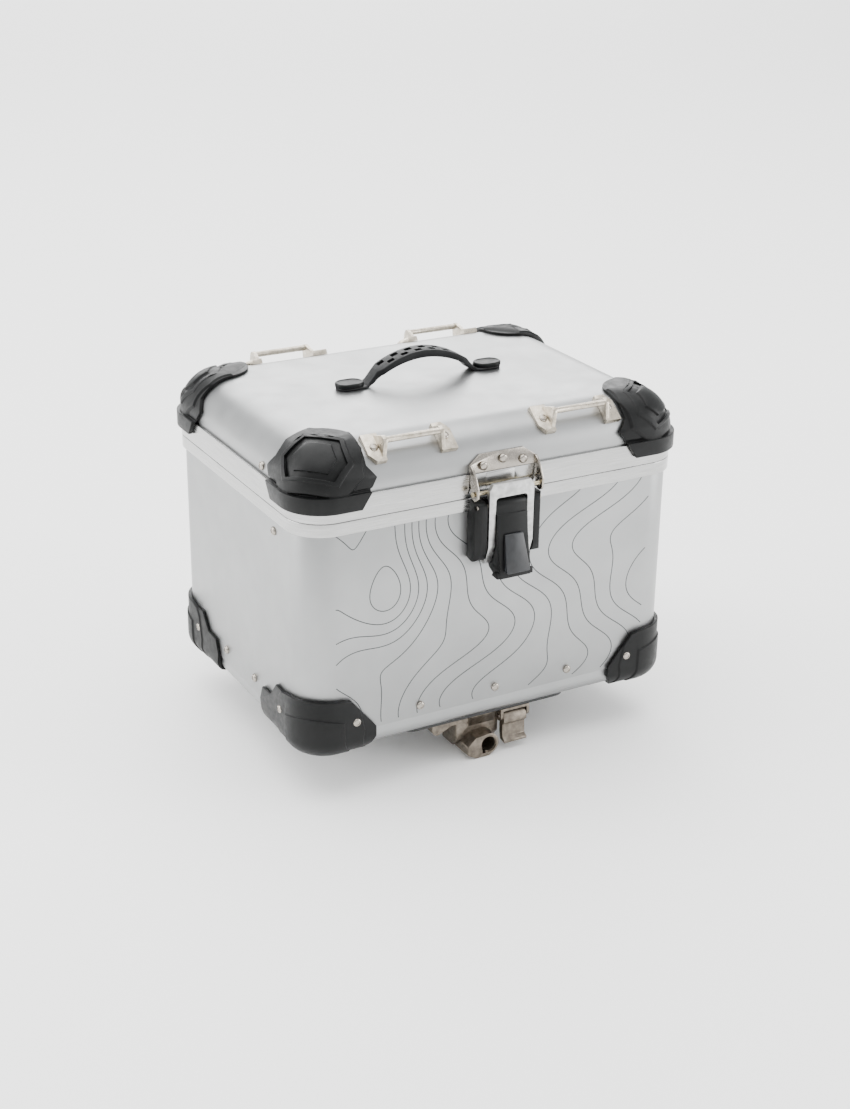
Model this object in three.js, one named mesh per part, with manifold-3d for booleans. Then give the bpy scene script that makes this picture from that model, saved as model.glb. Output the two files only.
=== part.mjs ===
// Aluminium top case for a motorcycle rack: a riveted sheet box, a domed lid on a long rear hinge,
// a toggle latch at the front and a quick-release foot underneath.
// Millimetres, +Z up. The latch faces -Y. Heights are counted from the surface that the case stands on.

import * as THREE from "three";
import { mergeVertices } from "three/addons/utils/BufferGeometryUtils.js";
import Module from "manifold-3d";

const wasm = await Module();
wasm.setup();

// ---------------------------------------------------------------- driving dimensions

const CASE_WIDTH = 420; // outside of the sheet walls
const CASE_DEPTH = 316.5;
const CORNER = 34; // vertical corner radius of the walls
const SHEET = 1.5; // sheet thickness
const ARC_STEPS = 6; // facets on each rounded edge of the case
const GAP = 0.3; // clearance between pieces that touch

const TRAY_UNDERSIDE = 51;
const TRAY_BEND = 14;
const TRAY_TOP = 100; // top of the tray's flange inside the walls
const WALL_BOTTOM = 72.3;
const BODY_RIM_BOTTOM = 283.3;
const JOINT = 296.7; // where the lid meets the body
const LID_RIM_TOP = 320.5;
const LID_TOP = 363.5;
const LID_BEND = 42; // radius along the lid's four top edges
const RIM_PROUD = 3.5; // how far both rims stand out from the walls
const RIM_LIP = 4; // how far their lips reach in over the sheet's edge
const LIP_HEIGHT = 2.3;
const SEAL_WIDTH = 5.5;

const GUARD_PROUD = 4.6; // lower corner guards
const UPPER_GUARD_PROUD = 6;
const GUARD_SKIRT_PROUD = 8; // where an upper guard laps over the lid rim

const HINGE_AXIS_Y = CASE_DEPTH / 2 + 7.1;
const HINGE_LENGTH = 250;
const KNUCKLES = 9;
const KNUCKLE_RADIUS = 3.2;

const HANDLE_Y = 8;
const HANDLE_WIDTH = 21;
const HANDLE_FOOT_X = 80;

const TIE_DOWN_X = 92.5;
const TIE_DOWN_SPACING = 75.3; // between the screws of one tie-down
const TIE_DOWN_TILT = THREE.MathUtils.degToRad(37);
const TIE_DOWN_HEIGHT = 13; // bar's centre above the lid's skin

const EAR_X = 36; // middle of the keeper's ears
const KEEPER_PIN = { y: -171.2, z: 303.5, radius: 2.5 };
const LEVER_PIVOT = { y: -173.5, z: 290, radius: 2 };
const FRAME_PIVOT = { y: -168, z: 234, radius: 2 };
const LEVER_HALF = 16.9;
const FRAME_INNER = 17.6;
const FRAME_OUTER = 24.7;
const WING_INNER = 26;
const WING_OUTER = 37;
const LOCK = { z: 243, radius: 5.5, front: -185, back: -171 };

const PLATE_TOP = 50.5; // mounting plate under the tray
const PLATE_BOTTOM = 47.5;
const BARREL_SIDES = 16;
const BARREL = { radius: 14, front: -150, back: -104, bore: 8, boreEnd: -123 };
BARREL.z = BARREL.radius * Math.cos(Math.PI / BARREL_SIDES); // its flat side stands on the ground plane
const RELEASE_PIVOT = { y: -141, z: 38, radius: 2 };
const HOOK_X = 88;
const HOOK_THICK = 10;
const RACK_TUBE = 20; // throat of the rear hooks

const HALF_X = CASE_WIDTH / 2;
const HALF_Y = CASE_DEPTH / 2;

// ---------------------------------------------------------------- solids

/** A closed geometry as a solid that can be joined and cut. */
function solid(geometry) {
  geometry.deleteAttribute("normal");
  geometry.deleteAttribute("uv");
  const merged = mergeVertices(geometry, 1e-3);
  const vertProperties = new Float32Array(merged.attributes.position.array);
  const triVerts = new Uint32Array(merged.index.array);
  return new wasm.Manifold(new wasm.Mesh({ numProp: 3, vertProperties, triVerts }));
}

/** A solid as a geometry that a mesh can show. */
function geometryOf(body) {
  const { vertProperties, triVerts } = body.getMesh();
  const geometry = new THREE.BufferGeometry();
  geometry.setAttribute("position", new THREE.BufferAttribute(vertProperties, 3));
  geometry.setIndex(new THREE.BufferAttribute(triVerts, 1));
  geometry.computeVertexNormals();
  return geometry;
}

const join = (first, ...others) => others.reduce((sum, next) => sum.add(next), first);
const cut = (first, ...others) => others.reduce((rest, next) => rest.subtract(next), first);
const meet = (first, ...others) => others.reduce((common, next) => common.intersect(next), first);

const X = new THREE.Vector3(1, 0, 0);
const Y = new THREE.Vector3(0, 1, 0);
const Z = new THREE.Vector3(0, 0, 1);
const FACING = {
  x: new THREE.Matrix4().makeBasis(Y, Z, X), // an outline in (y, z), pushed along x
  y: new THREE.Matrix4().makeBasis(X, Z, Y.clone().negate()), // an outline in (x, z), pushed along y
  z: new THREE.Matrix4(), // an outline in (x, y), pushed along z
};

/** A flat outline pushed along an axis, between two stations on it. */
function prism(outline, axis, from, to, curveSegments = 6) {
  const depth = to - from;
  const geometry = new THREE.ExtrudeGeometry(outline, { depth, bevelEnabled: false, curveSegments });
  geometry.translate(0, 0, axis === "y" ? -to : from);
  return solid(geometry.applyMatrix4(FACING[axis]));
}

function polygon(...points) {
  return new THREE.Shape(points.map(([u, v]) => new THREE.Vector2(u, v)));
}

/** A rectangle whose lower and upper corners may be rounded. */
function rectangle(left, bottom, right, top, lowerRadius = 0, upperRadius = lowerRadius) {
  const shape = new THREE.Shape();
  const corners = [
    [right, bottom, lowerRadius, -1, 1, -90],
    [right, top, upperRadius, -1, -1, 0],
    [left, top, upperRadius, 1, -1, 90],
    [left, bottom, lowerRadius, 1, 1, 180],
  ];
  shape.moveTo(left + lowerRadius, bottom);
  shape.lineTo(right - lowerRadius, bottom);
  for (const [x, y, radius, inX, inY, degrees] of corners) {
    const start = THREE.MathUtils.degToRad(degrees);
    if (radius > 0) {
      shape.absarc(x + inX * radius, y + inY * radius, radius, start, start + Math.PI / 2);
    } else {
      shape.lineTo(x, y);
    }
  }
  return shape;
}

function box(x0, y0, z0, x1, y1, z1) {
  const geometry = new THREE.BoxGeometry(x1 - x0, y1 - y0, z1 - z0);
  return solid(geometry.translate((x0 + x1) / 2, (y0 + y1) / 2, (z0 + z1) / 2));
}

/** A round bar along x at (y, z). */
function barAlongX(radius, from, to, y, z, sides = 12) {
  const geometry = new THREE.CylinderGeometry(radius, radius, to - from, sides);
  return solid(geometry.rotateZ(Math.PI / 2).translate((from + to) / 2, y, z));
}

/** A pin along x on a pivot, reaching the same distance to each side. */
function pinOn(pivot, reach) {
  return barAlongX(pivot.radius, -reach, reach, pivot.y, pivot.z);
}

/** The hole that lets a pin turn. */
function holeFor(pivot) {
  return barAlongX(pivot.radius + GAP, -60, 60, pivot.y, pivot.z);
}

/** A round bar along y at (x, z), with a flat side down. */
function barAlongY(radius, from, to, x, z, sides = BARREL_SIDES) {
  const geometry = new THREE.CylinderGeometry(radius, radius, to - from, sides);
  return solid(geometry.rotateY(Math.PI / sides).translate(x, (from + to) / 2, z));
}

// ---------------------------------------------------------------- forms of the case

/** The upright slab inside the walls grown by an amount, between two heights. */
function plan(grow, from, to) {
  const outline = rectangle(-HALF_X - grow, -HALF_Y - grow, HALF_X + grow, HALF_Y + grow, CORNER + grow);
  return prism(outline, "z", from, to, ARC_STEPS);
}

function band(outerGrow, innerGrow, from, to) {
  return cut(plan(outerGrow, from, to), plan(innerGrow, from - 1, to + 1));
}

/** The case's block, grown sideways, with its four bottom or top edges rolled over. */
function block(grow, bottom, top, bottomBend, topBend) {
  const halfX = HALF_X + grow;
  const halfY = HALF_Y + grow;
  const front = rectangle(-halfX, bottom, halfX, top, bottomBend, topBend);
  const side = rectangle(-halfY, bottom, halfY, top, bottomBend, topBend);
  return meet(
    prism(front, "y", -halfY - 1, halfY + 1, ARC_STEPS),
    prism(side, "x", -halfX - 1, halfX + 1, ARC_STEPS),
    plan(grow, bottom - 1, top + 1),
  );
}

// ---------------------------------------------------------------- finishes

function finish(color, roughness, metalness) {
  return new THREE.MeshStandardMaterial({ color, roughness, metalness });
}

const ANODISED = finish(0xc8caca, 0.42, 1);
const RIM_METAL = finish(0xdcdcdc, 0.3, 1);
const STEEL = finish(0xbcb6ac, 0.28, 1);
const NICKEL = finish(0xc4bdae, 0.34, 1);
const CAST = finish(0x8d857b, 0.45, 1);
const CAST_BRIGHT = finish(0xc9c9c8, 0.35, 1);
const BLACK_PLASTIC = finish(0x2c2e30, 0.5, 0);
const BLACK_STEEL = finish(0x1c1d1f, 0.55, 0);
const RUBBER = finish(0x1a1a1b, 0.8, 0);

// ---------------------------------------------------------------- assembly

const topCase = new THREE.Group();
const body = new THREE.Group();
const lid = new THREE.Group();
const latch = new THREE.Group();
const foot = new THREE.Group();
topCase.add(body, lid, latch, foot);

function add(parent, name, piece, material) {
  const mesh = new THREE.Mesh(piece.isBufferGeometry ? piece : geometryOf(piece), material);
  mesh.name = name;
  parent.add(mesh);
  return mesh;
}

// ---------------------------------------------------------------- rivets

const RIVET_SHANK = 2.2;

/** Blind rivet: a low dome on a shank, along +Y of its own frame, with the dome's seat at the origin. */
function rivetGeometry() {
  const profile = [
    [0, -5],
    [RIVET_SHANK, -5],
    [RIVET_SHANK, GAP],
    [4.4, GAP],
    [4, 1.4],
    [2.2, 2.4],
    [0, 2.7],
  ];
  return new THREE.LatheGeometry(profile.map(([r, h]) => new THREE.Vector2(r, h)), 8);
}

const OUTWARD = {
  front: new THREE.Vector3(0, -1, 0),
  rear: new THREE.Vector3(0, 1, 0),
  left: new THREE.Vector3(-1, 0, 0),
  right: new THREE.Vector3(1, 0, 0),
};

const trayRivets = [
  ...[-86, 0, 86].map((x, i) => ({ name: `front_rivet_${i + 1}`, at: [x, -HALF_Y, 84], side: "front" })),
  ...[-86, 0, 86].map((x, i) => ({ name: `rear_rivet_${i + 1}`, at: [x, HALF_Y, 84], side: "rear" })),
  ...[-36, 36].map((y, i) => ({ name: `left_rivet_${i + 1}`, at: [-HALF_X, y, 88], side: "left" })),
  ...[-36, 36].map((y, i) => ({ name: `right_rivet_${i + 1}`, at: [HALF_X, y, 88], side: "right" })),
];
const stayRivets = {
  body: { name: "body_stay_rivet", at: [-HALF_X, -92, 270], side: "left" },
  lid: { name: "lid_stay_rivet", at: [-HALF_X, -67, 327.5], side: "left" },
};

function turnedOutward(side) {
  return new THREE.Quaternion().setFromUnitVectors(Y, OUTWARD[side]);
}

function addRivet(parent, { name, at, side }) {
  const mesh = add(parent, name, rivetGeometry(), STEEL);
  mesh.position.set(...at);
  mesh.quaternion.copy(turnedOutward(side));
  return mesh;
}

/** The hole that a rivet's shank passes through. */
function rivetHole({ at, side }) {
  const hole = new THREE.CylinderGeometry(RIVET_SHANK + GAP, RIVET_SHANK + GAP, 14, 8);
  return solid(hole.applyQuaternion(turnedOutward(side)).translate(...at));
}

// ---------------------------------------------------------------- body of the case

const rivetHoles = trayRivets.map(rivetHole);

function bodyShell() {
  const wall = band(0, -SHEET, WALL_BOTTOM, JOINT - LIP_HEIGHT - GAP);
  return cut(wall, ...rivetHoles, rivetHole(stayRivets.body));
}

/** Where the mounting plate is bolted to the tray. */
const plateBolts = [[-70, -112], [70, -112], [-60, 118], [60, 118]];

function boltHole([x, y]) {
  const hole = new THREE.CylinderGeometry(3.4, 3.4, 40, 10);
  return solid(hole.rotateX(Math.PI / 2).translate(x, y, TRAY_UNDERSIDE));
}

/** Pressed tray that closes the box from below: its flange stands inside the walls. */
function bottomTray() {
  const inset = -SHEET - GAP;
  const outside = block(inset, TRAY_UNDERSIDE, TRAY_TOP, TRAY_BEND, 0);
  const inside = block(inset - SHEET, TRAY_UNDERSIDE + SHEET, TRAY_TOP + 1, TRAY_BEND - SHEET, 0);
  return cut(outside, inside, ...rivetHoles, ...plateBolts.map(boltHole));
}

/** Extruded edge band: it laps the sheet outside, and its lip covers the sheet's edge. */
function bodyRim() {
  const top = JOINT - GAP / 2;
  return cut(
    plan(RIM_PROUD, BODY_RIM_BOTTOM, top),
    plan(GAP, BODY_RIM_BOTTOM - 1, top - LIP_HEIGHT + GAP),
    plan(-RIM_LIP, top - LIP_HEIGHT - 1, top + 1),
  );
}

add(body, "body_shell", bodyShell(), ANODISED);
add(body, "bottom_tray", bottomTray(), ANODISED);
add(body, "body_rim", bodyRim(), RIM_METAL);
for (const rivet of trayRivets) addRivet(body, rivet);
addRivet(body, stayRivets.body);

// ---------------------------------------------------------------- corner guards

/** An outline in distances from a case corner, moved to the front left corner. */
function atCorner(points, origin) {
  return polygon(...points.map(([u, v]) => [origin + u, v]));
}

const OUT = -12; // clear outside of the guards

function lowerGuard() {
  const frontOutline = [[OUT, 40], [54, 40], [66, 50], [74, 64], [74, 75], [47, 108], [28, 111], [OUT, 116]];
  const sideOutline = [[OUT, 40], [84, 40], [99, 54], [104, 75], [98, 90], [78, 91], [56, 107], [30, 112],
    [OUT, 116]];
  const planOutline = [[OUT, OUT], [80, OUT], [70, 25], [25, 96], [OUT, 112]];
  const outside = block(GUARD_PROUD, TRAY_UNDERSIDE - 4, 130, TRAY_BEND + 6, 0);
  const wall = plan(GAP, WALL_BOTTOM - GAP, 131);
  const tray = block(-SHEET, TRAY_UNDERSIDE - GAP, 131, TRAY_BEND, 0);
  const corner = meet(
    outside,
    prism(atCorner(frontOutline, -HALF_X), "y", -HALF_Y + OUT, 0),
    prism(atCorner(sideOutline, -HALF_Y), "x", -HALF_X + OUT, 0),
    prism(polygon(...planOutline.map(([u, v]) => [u - HALF_X, v - HALF_Y])), "z", 30, 130),
  );
  return cut(corner, wall, tray);
}

function upperGuard() {
  const outline = [[OUT, 307], [57, 307], [75, 335], [66, 346], [68, 380], [OUT, 380]];
  const planOutline = [[OUT, OUT], [80, OUT], [74, 22], [66, 50], [58, 58], [50, 66], [22, 74], [OUT, 80]];
  const cap = block(UPPER_GUARD_PROUD, 300, LID_TOP + 4.5, 0, LID_BEND + 4);
  const skirt = plan(GUARD_SKIRT_PROUD, 300, LID_RIM_TOP + 2.5);
  const corner = meet(
    join(cap, skirt),
    prism(atCorner(outline, -HALF_X), "y", -HALF_Y + OUT, 0),
    prism(atCorner(outline, -HALF_Y), "x", -HALF_X + OUT, 0),
    prism(polygon(...planOutline.map(([u, v]) => [u - HALF_X, v - HALF_Y])), "z", 290, 390),
  );
  const lidSkin = block(GAP, 290, LID_TOP + GAP, 0, LID_BEND);
  const rimSkin = plan(RIM_PROUD + GAP, 290, LID_RIM_TOP + GAP);
  return cut(corner, lidSkin, rimSkin);
}

const CORNERS = { front_left: [1, 1], front_right: [-1, 1], rear_left: [1, -1], rear_right: [-1, -1] };
const lowerGuardGeometry = geometryOf(lowerGuard());
const upperGuardGeometry = geometryOf(upperGuard());
for (const [where, [mirrorX, mirrorY]] of Object.entries(CORNERS)) {
  add(body, `lower_guard_${where}`, lowerGuardGeometry, BLACK_PLASTIC).scale.set(mirrorX, mirrorY, 1);
  add(lid, `upper_guard_${where}`, upperGuardGeometry, BLACK_PLASTIC).scale.set(mirrorX, mirrorY, 1);
}

// ---------------------------------------------------------------- lid

function lidShell() {
  const bottom = JOINT + LIP_HEIGHT + GAP;
  const outside = block(0, bottom, LID_TOP, 0, LID_BEND);
  const inside = block(-SHEET, bottom - 1, LID_TOP - SHEET, 0, LID_BEND - SHEET);
  return cut(outside, inside, rivetHole(stayRivets.lid), ...keeperRivetHoles());
}

function lidRim() {
  const bottom = JOINT + GAP / 2;
  return cut(
    plan(RIM_PROUD, bottom, LID_RIM_TOP),
    plan(GAP, bottom + LIP_HEIGHT - GAP, LID_RIM_TOP + 1),
    plan(-RIM_LIP, bottom - 1, bottom + LIP_HEIGHT + 1),
  );
}

/** Foam rubber seal inside the lid rim's lip: it presses on the inner edge of the body rim. */
function lidSeal() {
  const outer = -RIM_LIP - 0.4;
  return band(outer, outer - SEAL_WIDTH, JOINT - 2.7, JOINT + 3.3);
}

const lidArc = { y: HALF_Y - LID_BEND, z: LID_TOP - LID_BEND };

// Keeper: a folded stainless plate riveted to the lid's front slope. Its ears carry the pin.
const KEEPER_PLATE = { bottom: 320.9, top: 338, y: -HALF_Y - 1.5, lean: 3.55, thick: 2 };
const keeperRivets = [[-22, 327], [0, 331], [22, 327]];

function keeperRivetHoles() {
  return keeperRivets.map(([x, z]) => rivetHole({ at: [x, -HALF_Y, z], side: "front" }));
}

function keeperBracket() {
  const { bottom, top, y, lean, thick } = KEEPER_PLATE;
  const slope = polygon([y, bottom], [y + lean, top], [y + lean - thick, top], [y - thick, bottom]);
  const half = EAR_X + 1;
  const foot = bottom - 1;
  const face = polygon([-half, foot], [half, foot], [half, 329], [23, 339], [-23, 339], [-half, 329]);
  const plate = meet(prism(slope, "x", -half, half), prism(face, "y", -180, -140));
  const ear = polygon(
    [-159.3, bottom], [-162.5, bottom], [-162.5, 303], [-166.5, 298], [-171, 296.4], [-175.4, 297.5],
    [-177.2, 302], [-176.6, 309], [-172.4, 317], [-168, 325], [-163.5, 329.5], [-158.6, 329.5],
  );
  const ears = [-1, 1].map((side) => {
    const middle = side * EAR_X;
    return prism(ear, "x", middle - 1, middle + 1);
  });
  return cut(join(plate, ...ears), holeFor(KEEPER_PIN), ...keeperRivetHoles());
}

/** One-piece moulded strap: a flat arch with a tab at each end. */
function handleStrap() {
  const base = LID_TOP + GAP;
  const outline = new THREE.Shape();
  outline.moveTo(-94, base);
  outline.lineTo(-61, base);
  outline.lineTo(-55, base + 3.5);
  outline.lineTo(-48, base + 10.5);
  outline.quadraticCurveTo(0, base + 41, 48, base + 10.5);
  outline.lineTo(55, base + 3.5);
  outline.lineTo(61, base);
  outline.lineTo(94, base);
  outline.lineTo(94, base + 2.4);
  outline.lineTo(64, base + 2.4);
  outline.lineTo(59.5, base + 6);
  outline.lineTo(52, base + 15);
  outline.quadraticCurveTo(0, base + 47.4, -52, base + 15);
  outline.lineTo(-59.5, base + 6);
  outline.lineTo(-64, base + 2.4);
  outline.lineTo(-94, base + 2.4);
  outline.closePath();
  return prism(outline, "y", -HANDLE_WIDTH / 2, HANDLE_WIDTH / 2, 16);
}

/** Oval cap that clamps one end of the strap. */
function handleFoot() {
  const outline = rectangle(-15, -11, 15, 11, 10.9);
  return prism(outline, "z", LID_TOP + GAP + 2.7, LID_TOP + 7, 6);
}

/** Cast bar on two feet. Its own frame: x along the bar, z away from the lid's skin. */
function tieDown() {
  const sole = barAlongX(LID_BEND + GAP, -60, 60, 0, -LID_BEND, 48);
  const half = TIE_DOWN_SPACING / 2;
  const padOutline = [[8.5, -15.5], [8.5, 7], [2, 15.5], [-8.5, 15.5], [-8.5, -15.5]];
  const feet = [-1, 1].map((side) => {
    const pad = polygon(...padOutline.map(([u, v]) => [side * (half + u), side * v]));
    const web = polygon([-12, 2], [12, 2], [4.5, TIE_DOWN_HEIGHT + 3.2], [-4.5, TIE_DOWN_HEIGHT + 3.2]);
    const inner = side * (half - 6.5);
    return join(prism(pad, "z", -3.5, 3), prism(web, "x", inner - 2, inner + 2));
  });
  const bar = barAlongX(3, -half + 6, half - 6, 0, TIE_DOWN_HEIGHT, 10);
  return cut(join(...feet, bar), sole);
}

add(lid, "lid_shell", lidShell(), ANODISED);
add(lid, "lid_rim", lidRim(), RIM_METAL);
add(lid, "lid_seal", lidSeal(), RUBBER);
add(lid, "keeper_bracket", keeperBracket(), STEEL);
add(lid, "keeper_pin", pinOn(KEEPER_PIN, 39.5), STEEL);
keeperRivets.forEach(([x, z], i) => {
  const { bottom, top, y, lean, thick } = KEEPER_PLATE;
  const seat = y - thick + (lean * (z - bottom)) / (top - bottom);
  addRivet(lid, { name: `keeper_rivet_${i + 1}`, at: [x, seat - 0.8, z], side: "front" });
});
addRivet(lid, stayRivets.lid).position.x += 0.4;
add(lid, "handle_strap", handleStrap(), BLACK_PLASTIC).position.y = HANDLE_Y;
for (const [where, side] of [["left", -1], ["right", 1]]) {
  const cap = add(lid, `handle_foot_${where}`, handleFoot(), BLACK_PLASTIC);
  cap.position.set(side * HANDLE_FOOT_X, HANDLE_Y, 0);
}

const tieDownGeometry = geometryOf(tieDown());
for (const [end, turn] of [["front", 0], ["rear", Math.PI]]) {
  const row = new THREE.Group();
  row.rotation.z = turn;
  lid.add(row);
  for (const [where, side] of [["left", -1], ["right", 1]]) {
    const tie = add(row, `tie_down_${end}_${where}`, tieDownGeometry, NICKEL);
    const across = (turn ? -side : side) * TIE_DOWN_X;
    const reach = LID_BEND * Math.sin(TIE_DOWN_TILT);
    tie.position.set(across, -lidArc.y - reach, lidArc.z + LID_BEND * Math.cos(TIE_DOWN_TILT));
    tie.rotation.x = TIE_DOWN_TILT;
  }
}

// ---------------------------------------------------------------- rear hinge

/** One leaf of the long hinge: a strip with every second knuckle. */
function hingeLeaf(firstKnuckle, stripFrom, stripTo) {
  const pitch = HINGE_LENGTH / KNUCKLES;
  const back = HALF_Y + RIM_PROUD + GAP;
  const front = back + 2;
  const half = HINGE_LENGTH / 2;
  let leaf = box(-half, back, Math.min(stripFrom, stripTo), half, front, Math.max(stripFrom, stripTo));
  for (let k = firstKnuckle; k < KNUCKLES; k += 2) {
    const from = -half + k * pitch + 0.2;
    const to = from + pitch - 0.4;
    const web = box(from, back, Math.min(stripFrom, JOINT), to, front, Math.max(stripFrom, JOINT));
    leaf = join(leaf, web, barAlongX(KNUCKLE_RADIUS, from, to, HINGE_AXIS_Y, JOINT));
  }
  return cut(leaf, barAlongX(1.8, -half - 1, half + 1, HINGE_AXIS_Y, JOINT));
}

const clearOfKnuckle = KNUCKLE_RADIUS + GAP;
add(body, "hinge_body_leaf", hingeLeaf(0, JOINT - clearOfKnuckle, BODY_RIM_BOTTOM + 1), STEEL);
add(lid, "hinge_lid_leaf", hingeLeaf(1, JOINT + clearOfKnuckle, JOINT + 17), STEEL);
const hingePinEnd = HINGE_LENGTH / 2 + 2;
add(body, "hinge_pin", barAlongX(1.5, -hingePinEnd, hingePinEnd, HINGE_AXIS_Y, JOINT), STEEL);

// ---------------------------------------------------------------- latch

/** Moulded housing: a back plate on the wall and a wing on each side of the lever. */
function latchBase() {
  const wall = -HALF_Y - GAP;
  const rimFace = -HALF_Y - RIM_PROUD - GAP;
  const wing = polygon([wall, 235], [-168, 233], [-174, 236], [-178.5, 246], [-178.5, 288], [-176, 294],
    [-172, 295], [rimFace, 295], [rimFace, BODY_RIM_BOTTOM - 0.5], [wall, BODY_RIM_BOTTOM - 0.5]);
  const back = box(-WING_INNER - 1, wall - 2.4, 235, WING_INNER + 1, wall, BODY_RIM_BOTTOM - 0.5);
  const wings = [-1, 1].map((side) => {
    const from = Math.min(side * WING_INNER, side * WING_OUTER);
    return prism(wing, "x", from, from + WING_OUTER - WING_INNER);
  });
  const pivotHole = barAlongX(LEVER_PIVOT.radius + GAP, -36, 36, LEVER_PIVOT.y, LEVER_PIVOT.z);
  return cut(join(back, ...wings), pivotHole);
}

/** Pull lever: it hangs from its pivot, and its lower lip is the finger grip. */
function latchLever() {
  const side = polygon(
    [-179.8, 290], [-178, 294.4], [-173.5, 296.2], [-168.6, 294], [-167.2, 289], [-165.4, 262], [-164.6, 240],
    [-163.4, 231], [-168, 224], [-178, 219], [-190, 218.5], [-189.5, 225], [-183, 262], [-181.2, 282],
  );
  const lip = polygon([-178, 219], [-190, 218.5], [-189.4, 225.6], [-180, 223]);
  const lockBore = barAlongY(LOCK.radius + GAP, LOCK.back + GAP - 30, LOCK.back + GAP, 0, LOCK.z);
  return cut(
    join(prism(side, "x", -LEVER_HALF, LEVER_HALF), prism(lip, "x", -20.4, 20.4)),
    holeFor(LEVER_PIVOT),
    holeFor(FRAME_PIVOT),
    lockBore,
  );
}

/** Draw frame: an upside-down U that reaches up from the lever and holds the keeper pin. */
function latchFrame() {
  const leg = polygon([-179.5, 313], [-179.5, 250], [-173, 231], [-168, 228.6], [-164.2, 231], [-164, 236],
    [-169, 243], [-175.9, 256], [-175.9, 297], [-174.2, 299], [-174.2, 313]);
  const front = polygon([-FRAME_OUTER, 220], [FRAME_OUTER, 220], [FRAME_OUTER, 308], [21, 313], [-21, 313],
    [-FRAME_OUTER, 308]);
  const window = polygon([-FRAME_INNER, 219], [FRAME_INNER, 219], [FRAME_INNER, 297], [15, 299], [-15, 299],
    [-FRAME_INNER, 297]);
  const whole = meet(prism(leg, "x", -FRAME_OUTER, FRAME_OUTER), prism(front, "y", -190, -150));
  return cut(whole, prism(window, "y", -191, -149), holeFor(FRAME_PIVOT));
}

/** Hinged flap over the keyhole, thicker towards the fingers. */
function lockCover() {
  const side = polygon([-183.5, 262], [-189.9, 225.4], [-197, 225.4], [-185.8, 262]);
  const front = polygon([-11.2, 263], [-13, 224], [13, 224], [11.2, 263]);
  return meet(prism(side, "x", -20, 20), prism(front, "y", -200, -170));
}

function lockCylinder() {
  const keyway = box(-0.9, LOCK.front - 1, LOCK.z - 3.2, 0.9, LOCK.front + 5, LOCK.z + 3.2);
  return cut(barAlongY(LOCK.radius, LOCK.front, LOCK.back, 0, LOCK.z), keyway);
}

add(latch, "latch_base", latchBase(), BLACK_PLASTIC);
add(latch, "latch_lever", latchLever(), BLACK_PLASTIC);
add(latch, "latch_frame", latchFrame(), CAST_BRIGHT);
add(latch, "lever_pivot_pin", pinOn(LEVER_PIVOT, 35.5), STEEL);
add(latch, "frame_pivot_pin", pinOn(FRAME_PIVOT, 24.5), STEEL);
add(latch, "lock_cover", lockCover(), BLACK_PLASTIC);
add(latch, "lock_cylinder", lockCylinder(), STEEL);

// ---------------------------------------------------------------- quick-release foot

function mountPlate() {
  const outline = rectangle(-96, -146, 96, 136, 14);
  return cut(prism(outline, "z", PLATE_BOTTOM, PLATE_TOP), ...plateBolts.map(boltHole));
}

/** Casting under the front edge: a flange, a block and the barrel that a lock cylinder goes into. */
function releaseHousing() {
  const top = PLATE_BOTTOM - GAP;
  const flange = polygon([-58, top], [-58, 33], [-46, 29], [-34, 36], [44, 36], [48, 40], [48, top]);
  const blockSide = polygon([-128, top], [-134, 30], [-134, 18], [-126, 8], [-104, 8], [-104, top]);
  const neck = polygon([-13, top], [-13, 12], [13, 12], [15, 30], [15, top]);
  const saddle = box(-30, -132, 20, 44, -106, top);
  const casting = join(
    prism(flange, "y", -134, -104),
    meet(prism(blockSide, "x", -30, 44), saddle),
    prism(neck, "y", -146, -104),
    barAlongY(BARREL.radius, BARREL.front, BARREL.back, 0, BARREL.z),
  );
  const bore = barAlongY(BARREL.bore, BARREL.front - 1, BARREL.boreEnd, 0, BARREL.z);
  const keyNotch = box(-7.5, BARREL.front - 1, BARREL.z - 9.5, -3.5, BARREL.boreEnd, BARREL.z - 4);
  const catchSlot = box(-10.3, -121, 5.7, 10.3, BARREL.back + 1, 20.3);
  const pivotSlot = barAlongX(RELEASE_PIVOT.radius + GAP, 14, 47, RELEASE_PIVOT.y, RELEASE_PIVOT.z);
  return cut(casting, bore, keyNotch, catchSlot, pivotSlot);
}

/** Two lugs of the mounting plate's casting carry the paddle's pin. */
function releaseBracket() {
  const lug = polygon([-146, PLATE_BOTTOM - GAP], [-146, 36], [-143, 33], [-138.5, 33], [-135, 36],
    [-135, PLATE_BOTTOM - GAP]);
  const strap = box(16, -146, 44.4, 50, -135, PLATE_BOTTOM - GAP);
  const lugs = [16, 47].map((from) => prism(lug, "x", from, from + 3));
  return cut(join(strap, ...lugs), holeFor(RELEASE_PIVOT));
}

/** Paddle that the rider pulls to draw the catch back. */
function releasePaddle() {
  const side = polygon(
    [-145, 40], [-142.5, 42], [-139, 41], [-137, 38], [-137.4, 20], [-139, 10], [-148.5, 8], [-149, 11],
    [-144, 14], [-143.5, 28], [-147, 31], [-147, 35],
  );
  return cut(prism(side, "x", 19.4, 46.6), holeFor(RELEASE_PIVOT));
}

/** Steel catch that slides out of the casting's back and grips the rack. */
function releaseCatch() {
  return prism(polygon([-112, 6], [-100, 6], [-92, 12], [-92, 16], [-96, 20], [-112, 20]), "x", -10, 10);
}

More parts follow.
